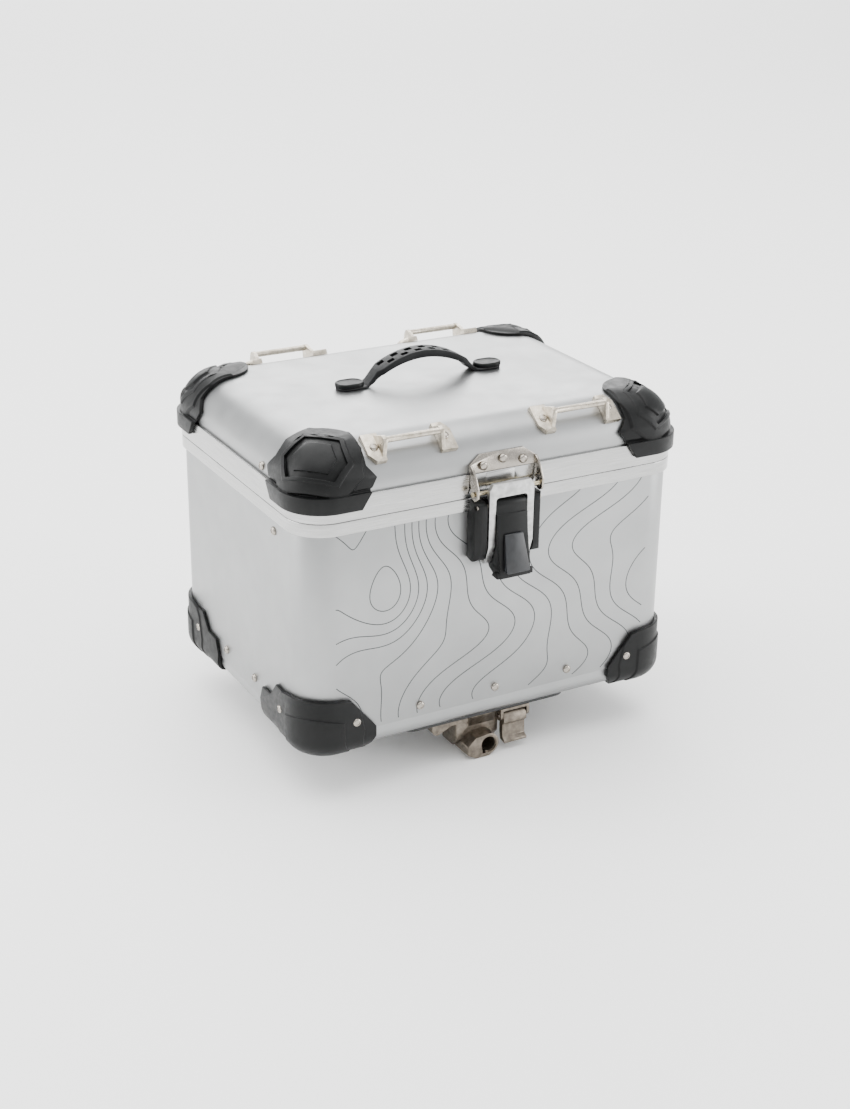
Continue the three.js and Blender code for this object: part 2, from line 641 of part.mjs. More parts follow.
function rearHook() {
  const middle = 23;
  const outline = new THREE.Shape();
  outline.moveTo(84, PLATE_BOTTOM - GAP);
  outline.lineTo(84, 6);
  outline.lineTo(90, 0);
  outline.lineTo(122, 0);
  outline.lineTo(130, 6);
  outline.lineTo(130, middle - RACK_TUBE / 2);
  outline.lineTo(106, middle - RACK_TUBE / 2);
  outline.absarc(106, middle, RACK_TUBE / 2, -Math.PI / 2, Math.PI / 2, true);
  outline.lineTo(130, middle + RACK_TUBE / 2);
  outline.lineTo(130, PLATE_BOTTOM - GAP);
  outline.closePath();
  return prism(outline, "x", -HOOK_THICK / 2, HOOK_THICK / 2, 8);
}

/** Hexagon bolt, head down, with its nut inside the tray. Its origin is in the plate's underside. */
function plateBolt() {
  const nutSeat = TRAY_UNDERSIDE + SHEET + GAP - PLATE_BOTTOM;
  const profile = [
    [0, -4.5],
    [5.8, -4.5],
    [5.8, -GAP],
    [3, -GAP],
    [3, nutSeat],
    [5.8, nutSeat],
    [5.8, nutSeat + 4],
    [0, nutSeat + 4],
  ];
  return new THREE.LatheGeometry(profile.map(([r, h]) => new THREE.Vector2(r, h)), 6).rotateX(Math.PI / 2);
}

add(foot, "mount_plate", mountPlate(), BLACK_STEEL);
plateBolts.forEach(([x, y], i) => {
  add(foot, `plate_bolt_${i + 1}`, plateBolt(), STEEL).position.set(x, y, PLATE_BOTTOM);
});
add(foot, "release_housing", releaseHousing(), CAST);
add(foot, "release_bracket", releaseBracket(), CAST);
add(foot, "release_paddle", releasePaddle(), CAST);
const releasePin = barAlongX(RELEASE_PIVOT.radius, 15.5, 50.5, RELEASE_PIVOT.y, RELEASE_PIVOT.z);
add(foot, "release_pin", releasePin, STEEL);
add(foot, "release_catch", releaseCatch(), STEEL);
for (const [where, side] of [["left", -1], ["right", 1]]) {
  add(foot, `rear_hook_${where}`, rearHook(), BLACK_STEEL).position.x = side * HOOK_X;
}

// The origin is the middle of the underside, so the depth is centred on the whole object's box.
const bounds = new THREE.Box3().setFromObject(topCase);
topCase.position.y = -(bounds.min.y + bounds.max.y) / 2;

export default topCase;
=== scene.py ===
# %% [markdown]
# # An aluminium top case
# The case is a riveted box of anodised sheet with a domed lid, moulded corner guards, a toggle latch and
# a quick-release foot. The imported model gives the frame: every body, node, joint and box. Each visible
# piece is modelled around that frame and rides on the body that the real piece is fastened to.

# %% The frame
import math

import bmesh
import bpy
from mathutils import Matrix, Vector


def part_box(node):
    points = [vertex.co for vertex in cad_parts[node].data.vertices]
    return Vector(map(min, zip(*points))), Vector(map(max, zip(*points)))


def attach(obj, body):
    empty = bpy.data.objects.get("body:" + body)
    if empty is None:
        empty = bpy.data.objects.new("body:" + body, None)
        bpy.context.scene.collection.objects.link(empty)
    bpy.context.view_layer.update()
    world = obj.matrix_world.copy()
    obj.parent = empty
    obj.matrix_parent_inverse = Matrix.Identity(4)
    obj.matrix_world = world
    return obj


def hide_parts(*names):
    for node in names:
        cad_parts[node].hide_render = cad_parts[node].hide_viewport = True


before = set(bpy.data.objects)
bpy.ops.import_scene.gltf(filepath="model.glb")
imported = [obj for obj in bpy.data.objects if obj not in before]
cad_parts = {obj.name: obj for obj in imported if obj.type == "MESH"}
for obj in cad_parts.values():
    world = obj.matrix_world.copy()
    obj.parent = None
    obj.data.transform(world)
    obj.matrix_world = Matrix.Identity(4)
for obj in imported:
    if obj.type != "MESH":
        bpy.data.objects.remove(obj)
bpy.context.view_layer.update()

# %% [markdown]
# ## Sizes
# The design is symmetric about the walls of the box, not about the whole object, because the latch and
# the hinge stand out by different amounts. So each piece is drawn in millimetres around the middle of
# the walls, and is moved to its place in the frame when it is finished.

# %% Sizes in millimetres
MM = 0.001
shell_low, shell_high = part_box("body_shell")
MIDDLE_Y = (shell_low.y + shell_high.y) / 2
HALF_X = shell_high.x / MM
HALF_Y = (shell_high.y - MIDDLE_Y) / MM
CORNER = 34
SHEET = 1.5
GAP = 0.3


def heights(node):
    """Lowest and highest point of a CAD node, in millimetres."""
    low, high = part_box(node)
    return low.z / MM, high.z / MM


WALL_BOTTOM, WALL_TOP = heights("body_shell")
TRAY_BOTTOM, TRAY_TOP = heights("bottom_tray")
BODY_RIM_BOTTOM, BODY_RIM_TOP = heights("body_rim")
LID_RIM_BOTTOM, LID_RIM_TOP = heights("lid_rim")
LID_BOTTOM, LID_TOP = heights("lid_shell")
LID_BEND = 42
RIM_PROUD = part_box("lid_rim")[1].x / MM - HALF_X
print(f"walls {2 * HALF_X:.1f} x {2 * HALF_Y:.1f} mm, lid from {LID_BOTTOM:.1f} to {LID_TOP:.1f} mm")

# %% [markdown]
# ## Helpers
# Operators act on everything that is selected, so each helper first clears the selection. `pick` goes
# into edit mode and selects by place or direction, as a person would by eye.

# %% Selecting and finishing
def activate(*pieces):
    """Select these pieces and nothing else; the last one is active."""
    bpy.ops.object.select_all(action="DESELECT")
    for piece in pieces:
        piece.select_set(True)
    bpy.context.view_layer.objects.active = pieces[-1]


def pick(piece, kind, test=lambda item: True):
    """Go into edit mode with the vertices, edges or faces that pass a test selected."""
    activate(piece)
    bpy.ops.object.mode_set(mode="EDIT")
    bpy.ops.mesh.select_mode(type=kind)
    bpy.ops.mesh.select_all(action="DESELECT")
    mesh = bmesh.from_edit_mesh(piece.data)
    items = {"VERT": mesh.verts, "EDGE": mesh.edges, "FACE": mesh.faces}[kind]
    for item in items:
        if test(item):
            item.select_set(True)
    bmesh.update_edit_mesh(piece.data)


def leave_edit():
    bpy.ops.object.mode_set(mode="OBJECT")


def middle(edge):
    """An edge's middle, in millimetres."""
    return (edge.verts[0].co + edge.verts[1].co) / 2 / MM


def upright(edge):
    start, end = (vertex.co for vertex in edge.verts)
    return abs(end.z - start.z) > 0.99 * (end - start).length


def apply_modifier(piece, kind, **settings):
    """Add a modifier with its settings and apply it at once."""
    modifier = piece.modifiers.new(kind.lower(), kind)
    for name, value in settings.items():
        setattr(modifier, name, value)
    activate(piece)
    bpy.ops.object.modifier_apply(modifier=modifier.name)
    return piece


def carve(piece, tool, operation="DIFFERENCE"):
    """Cut one piece by another, or join or intersect them. The tool is used up."""
    apply_modifier(piece, "BOOLEAN", object=tool, operation=operation, solver="EXACT")
    bpy.data.objects.remove(tool)
    return piece


def join(piece, *others):
    for other in others:
        carve(piece, other, "UNION")
    return piece


def merge_close(piece, reach=0.4):
    """Merge the points that cuts leave closer together than the reach, so that edges can be rounded."""
    pick(piece, "VERT")
    bpy.ops.mesh.remove_doubles(threshold=reach * MM)
    leave_edit()
    return piece


def soften(piece, width, segments=2, angle=35, clamp=True):
    """Round every edge sharper than the angle, as a mould or a deburring tool leaves it."""
    return apply_modifier(piece, "BEVEL", width=width * MM, segments=segments, limit_method="ANGLE",
                          angle_limit=math.radians(angle), miter_outer="MITER_ARC", use_clamp_overlap=clamp)


def twin(piece, name, mirror_x=1, mirror_y=1, shift=(0, 0, 0)):
    """A copy with its own mesh, mirrored about the middle of the case or moved."""
    copy = piece.copy()
    copy.data = piece.data.copy()
    copy.name = copy.data.name = name
    bpy.context.scene.collection.objects.link(copy)
    copy.data.transform(Matrix.Diagonal((mirror_x, mirror_y, 1, 1)))
    copy.data.transform(Matrix.Translation(Vector(shift) * MM))
    return copy


def finish(piece, body, material, nodes=(), angle=32):
    """Merge, turn the faces outwards, smooth, colour and place a piece, and hang it on its body."""
    piece.location.y += MIDDLE_Y
    pick(piece, "VERT")
    bpy.ops.mesh.remove_doubles(threshold=0.005 * MM)
    bpy.ops.mesh.normals_make_consistent(inside=False)
    leave_edit()
    bpy.ops.object.transform_apply(location=True, rotation=True, scale=True)
    bpy.ops.object.shade_smooth_by_angle(angle=math.radians(angle))
    piece.data.materials.clear()
    piece.data.materials.append(material)
    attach(piece, body)
    if nodes:
        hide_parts(*nodes)
    return piece


# %% Starting shapes
def block(name, low, high):
    """A box between two corners."""
    low, high = Vector(low) * MM, Vector(high) * MM
    bpy.ops.object.select_all(action="DESELECT")
    bpy.ops.mesh.primitive_cube_add(size=1, location=(low + high) / 2, scale=high - low)
    bpy.ops.object.transform_apply(location=True, rotation=True, scale=True)
    piece = bpy.context.object
    piece.name = piece.data.name = name
    return piece


def round_edges(piece, radius, segments, test):
    pick(piece, "EDGE", test)
    bpy.ops.mesh.bevel(offset=radius * MM, segments=segments, affect="EDGES")
    leave_edit()
    return piece


def case_block(name, grow, bottom, top, top_bend=0, bottom_bend=0, segments=14):
    """The box's own form, grown sideways: rounded upright edges, and a roll along the top or bottom."""
    half_x, half_y = HALF_X + grow, HALF_Y + grow
    piece = block(name, (-half_x, -half_y, bottom), (half_x, half_y, top))
    if top_bend:
        round_edges(piece, top_bend, segments, lambda e: upright(e) or middle(e).z > top - 1)
    else:
        round_edges(piece, CORNER + grow, segments, upright)
    if bottom_bend:
        round_edges(piece, bottom_bend, segments, lambda e: middle(e).z < bottom + 0.01)
    return piece


def plate(name, outline, axis, start, end):
    """An outline pushed along an axis; its corners are (y, z) for x, (x, z) for y and (x, y) for z."""
    bpy.ops.object.select_all(action="DESELECT")
    bpy.ops.mesh.primitive_circle_add(vertices=len(outline), fill_type="NGON")
    piece = bpy.context.object
    piece.name = piece.data.name = name
    place = {
        "x": lambda u, v: (start, u, v),
        "y": lambda u, v: (u, start, v),
        "z": lambda u, v: (u, v, start),
    }[axis]
    for vertex, (u, v) in zip(piece.data.vertices, outline):
        vertex.co = Vector(place(u, v)) * MM
    push = Vector((0, 0, 0))
    push["xyz".index(axis)] = (end - start) * MM
    pick(piece, "FACE")
    bpy.ops.mesh.extrude_region_move(TRANSFORM_OT_translate={"value": push})
    bpy.ops.mesh.select_all(action="SELECT")
    bpy.ops.mesh.normals_make_consistent(inside=False)
    leave_edit()
    return piece


def bar(name, radius, start, end, sides=32):
    """A round bar between two points on a line along one of the axes."""
    start, end = Vector(start) * MM, Vector(end) * MM
    along = end - start
    bpy.ops.object.select_all(action="DESELECT")
    bpy.ops.mesh.primitive_cylinder_add(vertices=sides, radius=radius * MM, depth=along.length,
                                        location=(start + end) / 2,
                                        rotation=along.to_track_quat("Z", "Y").to_euler())
    bpy.ops.object.transform_apply(location=True, rotation=True, scale=True)
    piece = bpy.context.object
    piece.name = piece.data.name = name
    return piece


def arc(centre, radius, start, end, steps=8):
    """Points along an arc, for an outline; angles in degrees."""
    turns = [math.radians(start + (end - start) * i / steps) for i in range(steps + 1)]
    return [(centre[0] + radius * math.cos(t), centre[1] + radius * math.sin(t)) for t in turns]


# %% [markdown]
# ## Finishes
# A finish is a Principled shader with two or three patterns in front of it. Every pattern reads Object
# coordinates, which are metres here, so a pattern of 0.5 mm has the scale 1 / 0.0005. Grains finer than
# about 0.5 mm are drawn at that size, because anything finer would not show.

# %% Building a finish
def linear(code):
    """A hex sRGB colour as the linear values that a shader wants."""
    parts = [int(code[i:i + 2], 16) / 255 for i in (1, 3, 5)]
    return [c / 12.92 if c <= 0.04045 else ((c + 0.055) / 1.055) ** 2.4 for c in parts] + [1]


def add_node(tree, kind, sockets, **settings):
    """One node with its settings; a socket is given a value, or the output that feeds it."""
    made = tree.nodes.new("ShaderNode" + kind)
    for name, value in settings.items():
        setattr(made, name, value)
    for name, value in sockets.items():
        if isinstance(value, bpy.types.NodeSocket):
            tree.links.new(value, made.inputs[name])
        else:
            made.inputs[name].default_value = value
    return made


def patterned(tree, size_mm, stretch=(1, 1, 1), detail=3, roughness=0.55):
    """Noise whose grain has a real size, stretched along an axis where the real one is."""
    place = add_node(tree, "TexCoord", {})
    scaled = add_node(tree, "Mapping", {"Vector": place.outputs["Object"], "Scale": stretch})
    return add_node(tree, "TexNoise", {"Vector": scaled.outputs["Vector"], "Scale": 1 / (size_mm * MM),
                                       "Detail": detail, "Roughness": roughness}).outputs["Fac"]


def ramp(tree, source, low, high):
    """Noise sits around a half; this spreads its middle between two values."""
    return add_node(tree, "MapRange", {"Value": source, "From Min": 0.3, "From Max": 0.7,
                                       "To Min": low, "To Max": high}).outputs["Result"]


def new_finish(name, dark, light, colour_grain, gloss, gloss_grain, bumps, metallic=0.0, **extra):
    """A finish from two shades, a range of roughness, and bumps of (size, depth in mm, stretch)."""
    material = bpy.data.materials.new(name)
    material.use_nodes = True
    tree = material.node_tree
    shader = tree.nodes["Principled BSDF"]
    shader.inputs["Metallic"].default_value = metallic
    for socket, value in extra.items():
        shader.inputs[socket.replace("_", " ")].default_value = value
    shade = ramp(tree, patterned(tree, *colour_grain), 0, 1)
    mix = add_node(tree, "Mix", {"Factor": shade}, data_type="RGBA")
    mix.inputs[6].default_value, mix.inputs[7].default_value = linear(dark), linear(light)
    tree.links.new(mix.outputs[2], shader.inputs["Base Color"])
    tree.links.new(ramp(tree, patterned(tree, *gloss_grain), *gloss), shader.inputs["Roughness"])
    normal = None
    for size, depth, stretch in bumps:
        sockets = {"Height": patterned(tree, size, stretch), "Distance": depth * MM, "Strength": 1.0}
        if normal:
            sockets["Normal"] = normal
        normal = add_node(tree, "Bump", sockets).outputs["Normal"]
    tree.links.new(normal, shader.inputs["Normal"])
    return material


EVEN = (1, 1, 1)
ALONG_THE_BAND = (0.02, 0.02, 1)  # streaks that run level round the case

# %% The metals
# Anodised aluminium sheet: etched before it is anodised, so it scatters light softly, with a fine even grain.
anodised_sheet = new_finish("anodised_aluminium_sheet", "#999a9a", "#a0a1a1", (60, EVEN), (0.34, 0.42),
                            (25, EVEN), [(0.6, 0.004, EVEN)], metallic=1.0)
# Brushed aluminium: drawn past a belt, so its scratches run along the band.
brushed_rim = new_finish("brushed_aluminium", "#a0a09f", "#bbbbba", (0.6, ALONG_THE_BAND), (0.16, 0.3),
                         (0.6, ALONG_THE_BAND), [(0.5, 0.003, ALONG_THE_BAND)], metallic=1.0)
# Stainless steel: stamped or turned and then tumbled, so it is bright with soft edges.
stainless_steel = new_finish("tumbled_stainless_steel", "#989289", "#a39d95", (6, EVEN), (0.2, 0.3),
                             (3, EVEN), [(1.2, 0.01, EVEN)], metallic=1.0)
# Nickel plate over a sand-blasted casting: warm, with a pebbled skin.
nickel_casting = new_finish("nickel_plated_casting", "#a89f90", "#c8c0b2", (5, EVEN), (0.24, 0.42),
                            (2, EVEN), [(0.9, 0.05, EVEN), (4, 0.08, EVEN)], metallic=1.0)
# Die-cast aluminium, tumbled: bright, slightly mottled.
cast_aluminium = new_finish("tumbled_cast_aluminium", "#9c9c9b", "#c8c8c7", (7, EVEN), (0.26, 0.44),
                            (4, EVEN), [(1.0, 0.03, EVEN), (8, 0.12, EVEN)], metallic=1.0)
# Bare die-cast alloy of the foot: greyer, with a rougher skin.
foot_casting = new_finish("bare_die_casting", "#665f56", "#8b8277", (6, EVEN), (0.34, 0.5),
                          (2, EVEN), [(0.9, 0.05, EVEN), (5, 0.1, EVEN)], metallic=1.0)
# Zinc plate, passivated: a faint yellow over the steel.
zinc_plate = new_finish("passivated_zinc_plate", "#a89c80", "#cabfa4", (4, EVEN), (0.2, 0.36),
                        (3, EVEN), [(1.2, 0.01, EVEN)], metallic=1.0)

# %% The plastics, coatings and ink
# Glass-filled nylon: spark-eroded mould texture, with a grey sheen where light grazes it.
moulded_nylon = new_finish("glass_filled_nylon", "#060707", "#0b0c0c", (14, EVEN), (0.36, 0.5),
                           (6, EVEN), [(0.7, 0.04, EVEN)], Specular_IOR_Level=0.2)
# The same nylon where fingers have worn its texture down.
worn_nylon = new_finish("handled_nylon", "#141517", "#1e2023", (10, EVEN), (0.3, 0.42),
                        (5, EVEN), [(1.1, 0.03, EVEN)])
# Moulded elastomer: a matt grip, a shade lighter than the nylon.
soft_grip = new_finish("moulded_elastomer", "#0c0d0e", "#141516", (9, EVEN), (0.46, 0.62),
                       (4, EVEN), [(0.8, 0.05, EVEN)], Specular_IOR_Level=0.25)
# Powder coat on steel: baked, with the slight waviness called orange peel.
powder_coat = new_finish("black_powder_coat", "#0c0d0d", "#151617", (12, EVEN), (0.36, 0.5),
                         (5, EVEN), [(2.5, 0.06, EVEN)])
# Foam rubber of the seal: nearly black, and matt all over.
foam_rubber = new_finish("foam_rubber", "#0b0b0b", "#161616", (3, EVEN), (0.8, 0.95),
                         (2, EVEN), [(0.8, 0.1, EVEN)])
# Screen-print ink: a thin grey film, a little duller than the metal under it.
print_ink = new_finish("screen_print_ink", "#242628", "#303234", (8, EVEN), (0.45, 0.6),
                       (3, EVEN), [(0.8, 0.004, EVEN)])
print("finishes:", len(bpy.data.materials))

# %% [markdown]
# ## Camera, light and floor
# Metal shows what is around it, so the light comes from large soft panels and a pale room. The camera
# looks down at the front left corner, a little turned about its own axis.

# %% Camera
YAW, PITCH, ROLL = math.radians(-28.97), math.radians(23.32), math.radians(0.72)
CAMERA_PLACE = (-0.84910, -1.52835, 0.92795)
camera_data = bpy.data.cameras.new("camera")
camera_data.lens = 58.51
camera_data.sensor_fit = "VERTICAL"
camera_data.sensor_height = 36
camera = bpy.data.objects.new("camera", camera_data)
bpy.context.scene.collection.objects.link(camera)
turned = (Matrix.Rotation(YAW, 4, "Z") @ Matrix.Rotation(math.pi / 2 - PITCH, 4, "X")
          @ Matrix.Rotation(ROLL, 4, "Z"))
camera.matrix_world = Matrix.Translation(CAMERA_PLACE) @ turned
bpy.context.scene.camera = camera

# %% Light and floor
def softbox(name, place, size, power, target=(0, 0, 0.2)):
    """A large rectangular panel of light that faces the case; places and sizes in metres."""
    data = bpy.data.lights.new(name, "AREA")
    data.shape = "RECTANGLE"
    data.size, data.size_y = size
    data.energy = power
    lamp = bpy.data.objects.new(name, data)
    bpy.context.scene.collection.objects.link(lamp)
    lamp.location = place
    lamp.rotation_euler = (Vector(place) - Vector(target)).to_track_quat("Z", "Y").to_euler()
    return lamp


softbox("overhead", (-0.3, 0.6, 4.4), (6.0, 6.0), 440)
softbox("left", (-4.6, 2.0, 1.9), (3.6, 3.6), 250)
softbox("right_front", (4.8, -3.2, 1.5), (3.2, 3.0), 270)
softbox("back", (3.0, 8.0, 3.9), (8.0, 4.0), 640)

world = bpy.data.worlds.new("pale_room")
bpy.context.scene.world = world
world.use_nodes = True
world.node_tree.nodes["Background"].inputs["Color"].default_value = linear("#f6f7f8")
world.node_tree.nodes["Background"].inputs["Strength"].default_value = 1.35

FLOOR_SIZE = 60
FLOOR_LEVEL = -0.0005  # just under the case, so that no two surfaces share a plane
bpy.ops.object.select_all(action="DESELECT")
bpy.ops.mesh.primitive_plane_add(size=FLOOR_SIZE, location=(0, 0, FLOOR_LEVEL))
floor = bpy.context.object
floor.name = "floor"
floor_finish = bpy.data.materials.new("white_paper")
floor_finish.use_nodes = True
paper = floor_finish.node_tree.nodes["Principled BSDF"]
paper.inputs["Base Color"].default_value = linear("#fbfbfa")
paper.inputs["Roughness"].default_value = 0.9
floor.data.materials.append(floor_finish)

# %% [markdown]
# ## Walls and tray
# The walls are one strip of 1.5 mm sheet bent round four corners, open above and below. A block with its
# upright edges rounded gives the form; its ends are deleted, and Solidify gives the sheet its thickness
# inwards, so that the outside keeps its size. The pressed tray closes the box from below.

# %% Walls
def sheet_shell(name, grow, bottom, top, open_faces, **bends):
    """A bent sheet: the block's form without its open faces, thickened inwards."""
    shell = case_block(name, grow, bottom, top, **bends)
    pick(shell, "FACE", open_faces)
    bpy.ops.mesh.delete(type="FACE")
    leave_edit()
    apply_modifier(shell, "SOLIDIFY", thickness=SHEET * MM, offset=-1, use_even_offset=True)
    return soften(shell, 0.25, 2, 60)


walls = sheet_shell("walls", 0, WALL_BOTTOM, WALL_TOP, lambda face: abs(face.normal.z) > 0.9)
finish(walls, "case", anodised_sheet, ["body_shell"])

TRAY_BEND = 14
tray = sheet_shell("tray", -SHEET - GAP, TRAY_BOTTOM, TRAY_TOP, lambda face: face.normal.z > 0.9,
                   bottom_bend=TRAY_BEND)
finish(tray, "case", anodised_sheet, ["bottom_tray"])
print("walls and tray:", len(walls.data.polygons), len(tray.data.polygons), "faces")

# %% [markdown]
# ## Rims
# Both rims are aluminium extrusions mitred or bent round the box. Each laps the sheet on the outside and
# turns in over its edge, where the seal presses. Each starts as a solid band: its middle is cut
# through, and the opening is then widened above and below the lip.

# %% Rims
LIP, LIP_HEIGHT = 4, 2.3


def rim(name, bottom, top, lip_low, lip_high):
    """A band outside the sheet with a lip that reaches in between two heights."""
    band = case_block(name, RIM_PROUD, bottom, top)
    carve(band, case_block("through", -LIP, bottom - 5, top + 5))
    carve(band, case_block("above", GAP, lip_high, top + 5))
    carve(band, case_block("below", GAP, bottom - 5, lip_low))
    return soften(band, 0.55, 3, 50)


body_rim = rim("body_rim_band", BODY_RIM_BOTTOM, BODY_RIM_TOP, BODY_RIM_TOP - LIP_HEIGHT, BODY_RIM_TOP + 4)
finish(body_rim, "case", brushed_rim, ["body_rim"])
lid_rim = rim("lid_rim_band", LID_RIM_BOTTOM, LID_RIM_TOP, LID_RIM_BOTTOM - 4, LID_RIM_BOTTOM + LIP_HEIGHT)
finish(lid_rim, "lid", brushed_rim, ["lid_rim"])

JOINER_LEFT, JOINER_RIGHT, JOINER_MARGIN = -19, 12.6, 1.2
band_face = -HALF_Y - RIM_PROUD
joiner = block("rim_joiner", (JOINER_LEFT, band_face - 0.35, LID_RIM_BOTTOM + JOINER_MARGIN),
               (JOINER_RIGHT, band_face + 0.1, LID_RIM_TOP - JOINER_MARGIN))
finish(soften(joiner, 0.15), "lid", brushed_rim)

SEAL_OUTER, SEAL_INNER = 0.4, 5.9  # distances from the lip to the seal's two sides
seal_low, seal_high = heights("lid_seal")
seal = case_block("seal", -LIP - SEAL_OUTER, seal_low, seal_high)
carve(seal, case_block("through", -LIP - SEAL_INNER, seal_low - 5, seal_high + 5))
finish(soften(seal, 1.8, 4), "lid", foam_rubber, ["lid_seal"])
print("rims:", len(body_rim.data.polygons), "and", len(lid_rim.data.polygons), "faces")

# %% [markdown]
# ## Domed lid
# The lid is pressed from one sheet with a roll of 42 mm along its top edges. Beveling the upright and the
# top edges together, at one radius, gives true ball corners, which the guards then cover.

# %% Lid
lid = sheet_shell("lid_dome", 0, LID_BOTTOM, LID_TOP, lambda face: face.normal.z < -0.9,
                  top_bend=LID_BEND, segments=20)
finish(lid, "lid", anodised_sheet, ["lid_shell"])
print("lid:", len(lid.data.polygons), "faces")

# %% [markdown]
# ## Corner guards
# A guard is moulded to the corner it protects, so its faces follow the case at different distances: thin
# wings, a raised middle, and a sunk panel that faces out along the corner's diagonal. Each level is the
# case's own form grown by a little more, cut to an outline. The levels are joined, and the case is cut
# out of the back. One guard is modelled and mirrored to the other corners.

# %% Guard levels
CLEAR = 14  # how far an outline reaches past the corner
DEPTH = 120  # how far it reaches back from the corner


def corner_outline(points, axis):
    """Distances from the front left corner as an outline on the front (y), the side (x) or the plan (z)."""
    if axis == "z":
        return [(u - HALF_X, v - HALF_Y) for u, v in points]
    edge = HALF_X if axis == "y" else HALF_Y
    return [(u - edge, v) for u, v in points]


def cut_to_corner(form, front, side, plan):
    """Keep only what lies inside all three outlines."""
    for outline, axis, wall in ((front, "y", -HALF_Y), (side, "x", -HALF_X)):
        prism = plate("outline", corner_outline(outline, axis), axis, wall - CLEAR, wall + DEPTH)
        carve(form, prism, "INTERSECT")
    return carve(form, plate("plan", corner_outline(plan, "z"), "z", 30, 400), "INTERSECT")


def facing_prism(name, outline, centre, rise, depth=60):
    """An outline seen along the corner's diagonal, made into a prism; rise is the diagonal's slope."""
    prism = plate(name, outline, "z", -depth, depth)
    out = Vector((-1, -1, rise)).normalized()
    across = Vector((1, -1, 0)).normalized()
    up = out.cross(across)
    turn = Matrix((across, up, out)).transposed().to_4x4()
    prism.data.transform(Matrix.Translation(Vector(centre) * MM) @ turn)
    return prism


# %% Upper guards
GUARD_BOTTOM, CAP_TOP = heights("upper_guard_front_left")
SKIRT_TOP = LID_RIM_TOP + 2.5
PANEL_CENTRE, PANEL_RISE = (-198, -146.5, 350), 1.0
# How far each level stands out from the case: the wings, the raised middle, the frame round the panel,
# the panel's floor, the bulge in it, the floor of the groove and the skirt that covers the rim.
WING, RAISED, FRAME, SUNK, BULGE, GROOVE, SKIRT = 3.8, 6, 7.3, 4.0, 5.8, 2.4, 8


def cap_level(name, grow):
    """The lid's dome grown by an amount, with ball corners."""
    return case_block(name, grow, 290, LID_TOP + grow * 0.75, top_bend=LID_BEND + grow * 0.4, segments=18)


wing_outline = [(-CLEAR, GUARD_BOTTOM), (57, GUARD_BOTTOM), (75, 335), (66, 346), (68, 380), (-CLEAR, 380)]
top_outline = ([(-CLEAR, -CLEAR), (79, -CLEAR), (73, 16)] + arc((32, 32), 36, 0, 90, 14)
               + [(16, 73), (-CLEAR, 79)])
plateau = [(-31, -23), (31, -23), (45, 4), (37, 31), (20, 47), (-20, 47), (-37, 31), (-45, 4)]
panel = [(-24, -9), (24, -9), (31, 12), (17, 34), (-17, 34), (-31, 12)]


def scaled(outline, size):
    """An outline made larger or smaller about the panel's middle."""
    return [(x * size, 12 + (y - 12) * size) for x, y in outline]


# %% Levels of the upper guard
upper_guard = cap_level("upper_guard", WING)
groove = case_block("groove", 12, SKIRT_TOP + 0.8, SKIRT_TOP + 2.6)
carve(groove, case_block("groove_floor", GROOVE, SKIRT_TOP - 5, SKIRT_TOP + 8))
carve(upper_guard, groove)

raised = cap_level("raised", RAISED)
carve(raised, facing_prism("plateau", plateau, PANEL_CENTRE, PANEL_RISE), "INTERSECT")
panel_frame = case_block("panel_frame", FRAME, 292, CAP_TOP, top_bend=LID_BEND + 3, segments=18)
carve(panel_frame, facing_prism("frame_edge", scaled(panel, 1.16), PANEL_CENTRE, PANEL_RISE), "INTERSECT")
skirt = case_block("skirt", SKIRT, GUARD_BOTTOM - 10, SKIRT_TOP)
join(upper_guard, raised, panel_frame, skirt)

sunk = facing_prism("sunk_panel", panel, PANEL_CENTRE, PANEL_RISE)
carve(upper_guard, carve(sunk, cap_level("panel_floor", SUNK)))
bulge = facing_prism("bulge", scaled(panel, 0.7), PANEL_CENTRE, PANEL_RISE)
carve(bulge, cap_level("bulge_top", BULGE), "INTERSECT")
join(upper_guard, bulge)

# %% Outline and back of the upper guard
EDGE = 0.5
cut_to_corner(upper_guard, wing_outline, wing_outline, top_outline)
carve(upper_guard, case_block("lid_inside", GAP, 280, LID_TOP + GAP, top_bend=LID_BEND, segments=20))
carve(upper_guard, case_block("rim_inside", RIM_PROUD + GAP, 280, LID_RIM_TOP + GAP))
soften(merge_close(upper_guard), EDGE, 3, 40, clamp=False)
print("upper guard:", len(upper_guard.data.polygons), "faces")

# %% Lower guards
LOWER_TOP = 130
LOW_WING, LOW_MIDDLE, LOW_PAD = 3.2, 4.6, 6.2
front_wing = [(-CLEAR, 40), (54, 40), (66, 50), (74, 64), (74, 75), (47, 108), (38, 110), (28, 111),
              (-CLEAR, 113)]
side_wing = [(-CLEAR, 40), (84, 40), (99, 54), (104, 75), (98, 90), (78, 91), (64, 108), (50, 107), (30, 111),
             (-CLEAR, 113)]
foot_outline = [(-CLEAR, -CLEAR), (80, -CLEAR), (70, 25), (25, 96), (-CLEAR, 112)]
PAD_CENTRE, PAD_RISE = (-212, -160, 80), -0.2


def foot_level(name, grow):
    """The tray's form grown sideways and a little downwards."""
    return case_block(name, grow, TRAY_BOTTOM - grow * 0.62, LOWER_TOP, bottom_bend=TRAY_BEND + grow)


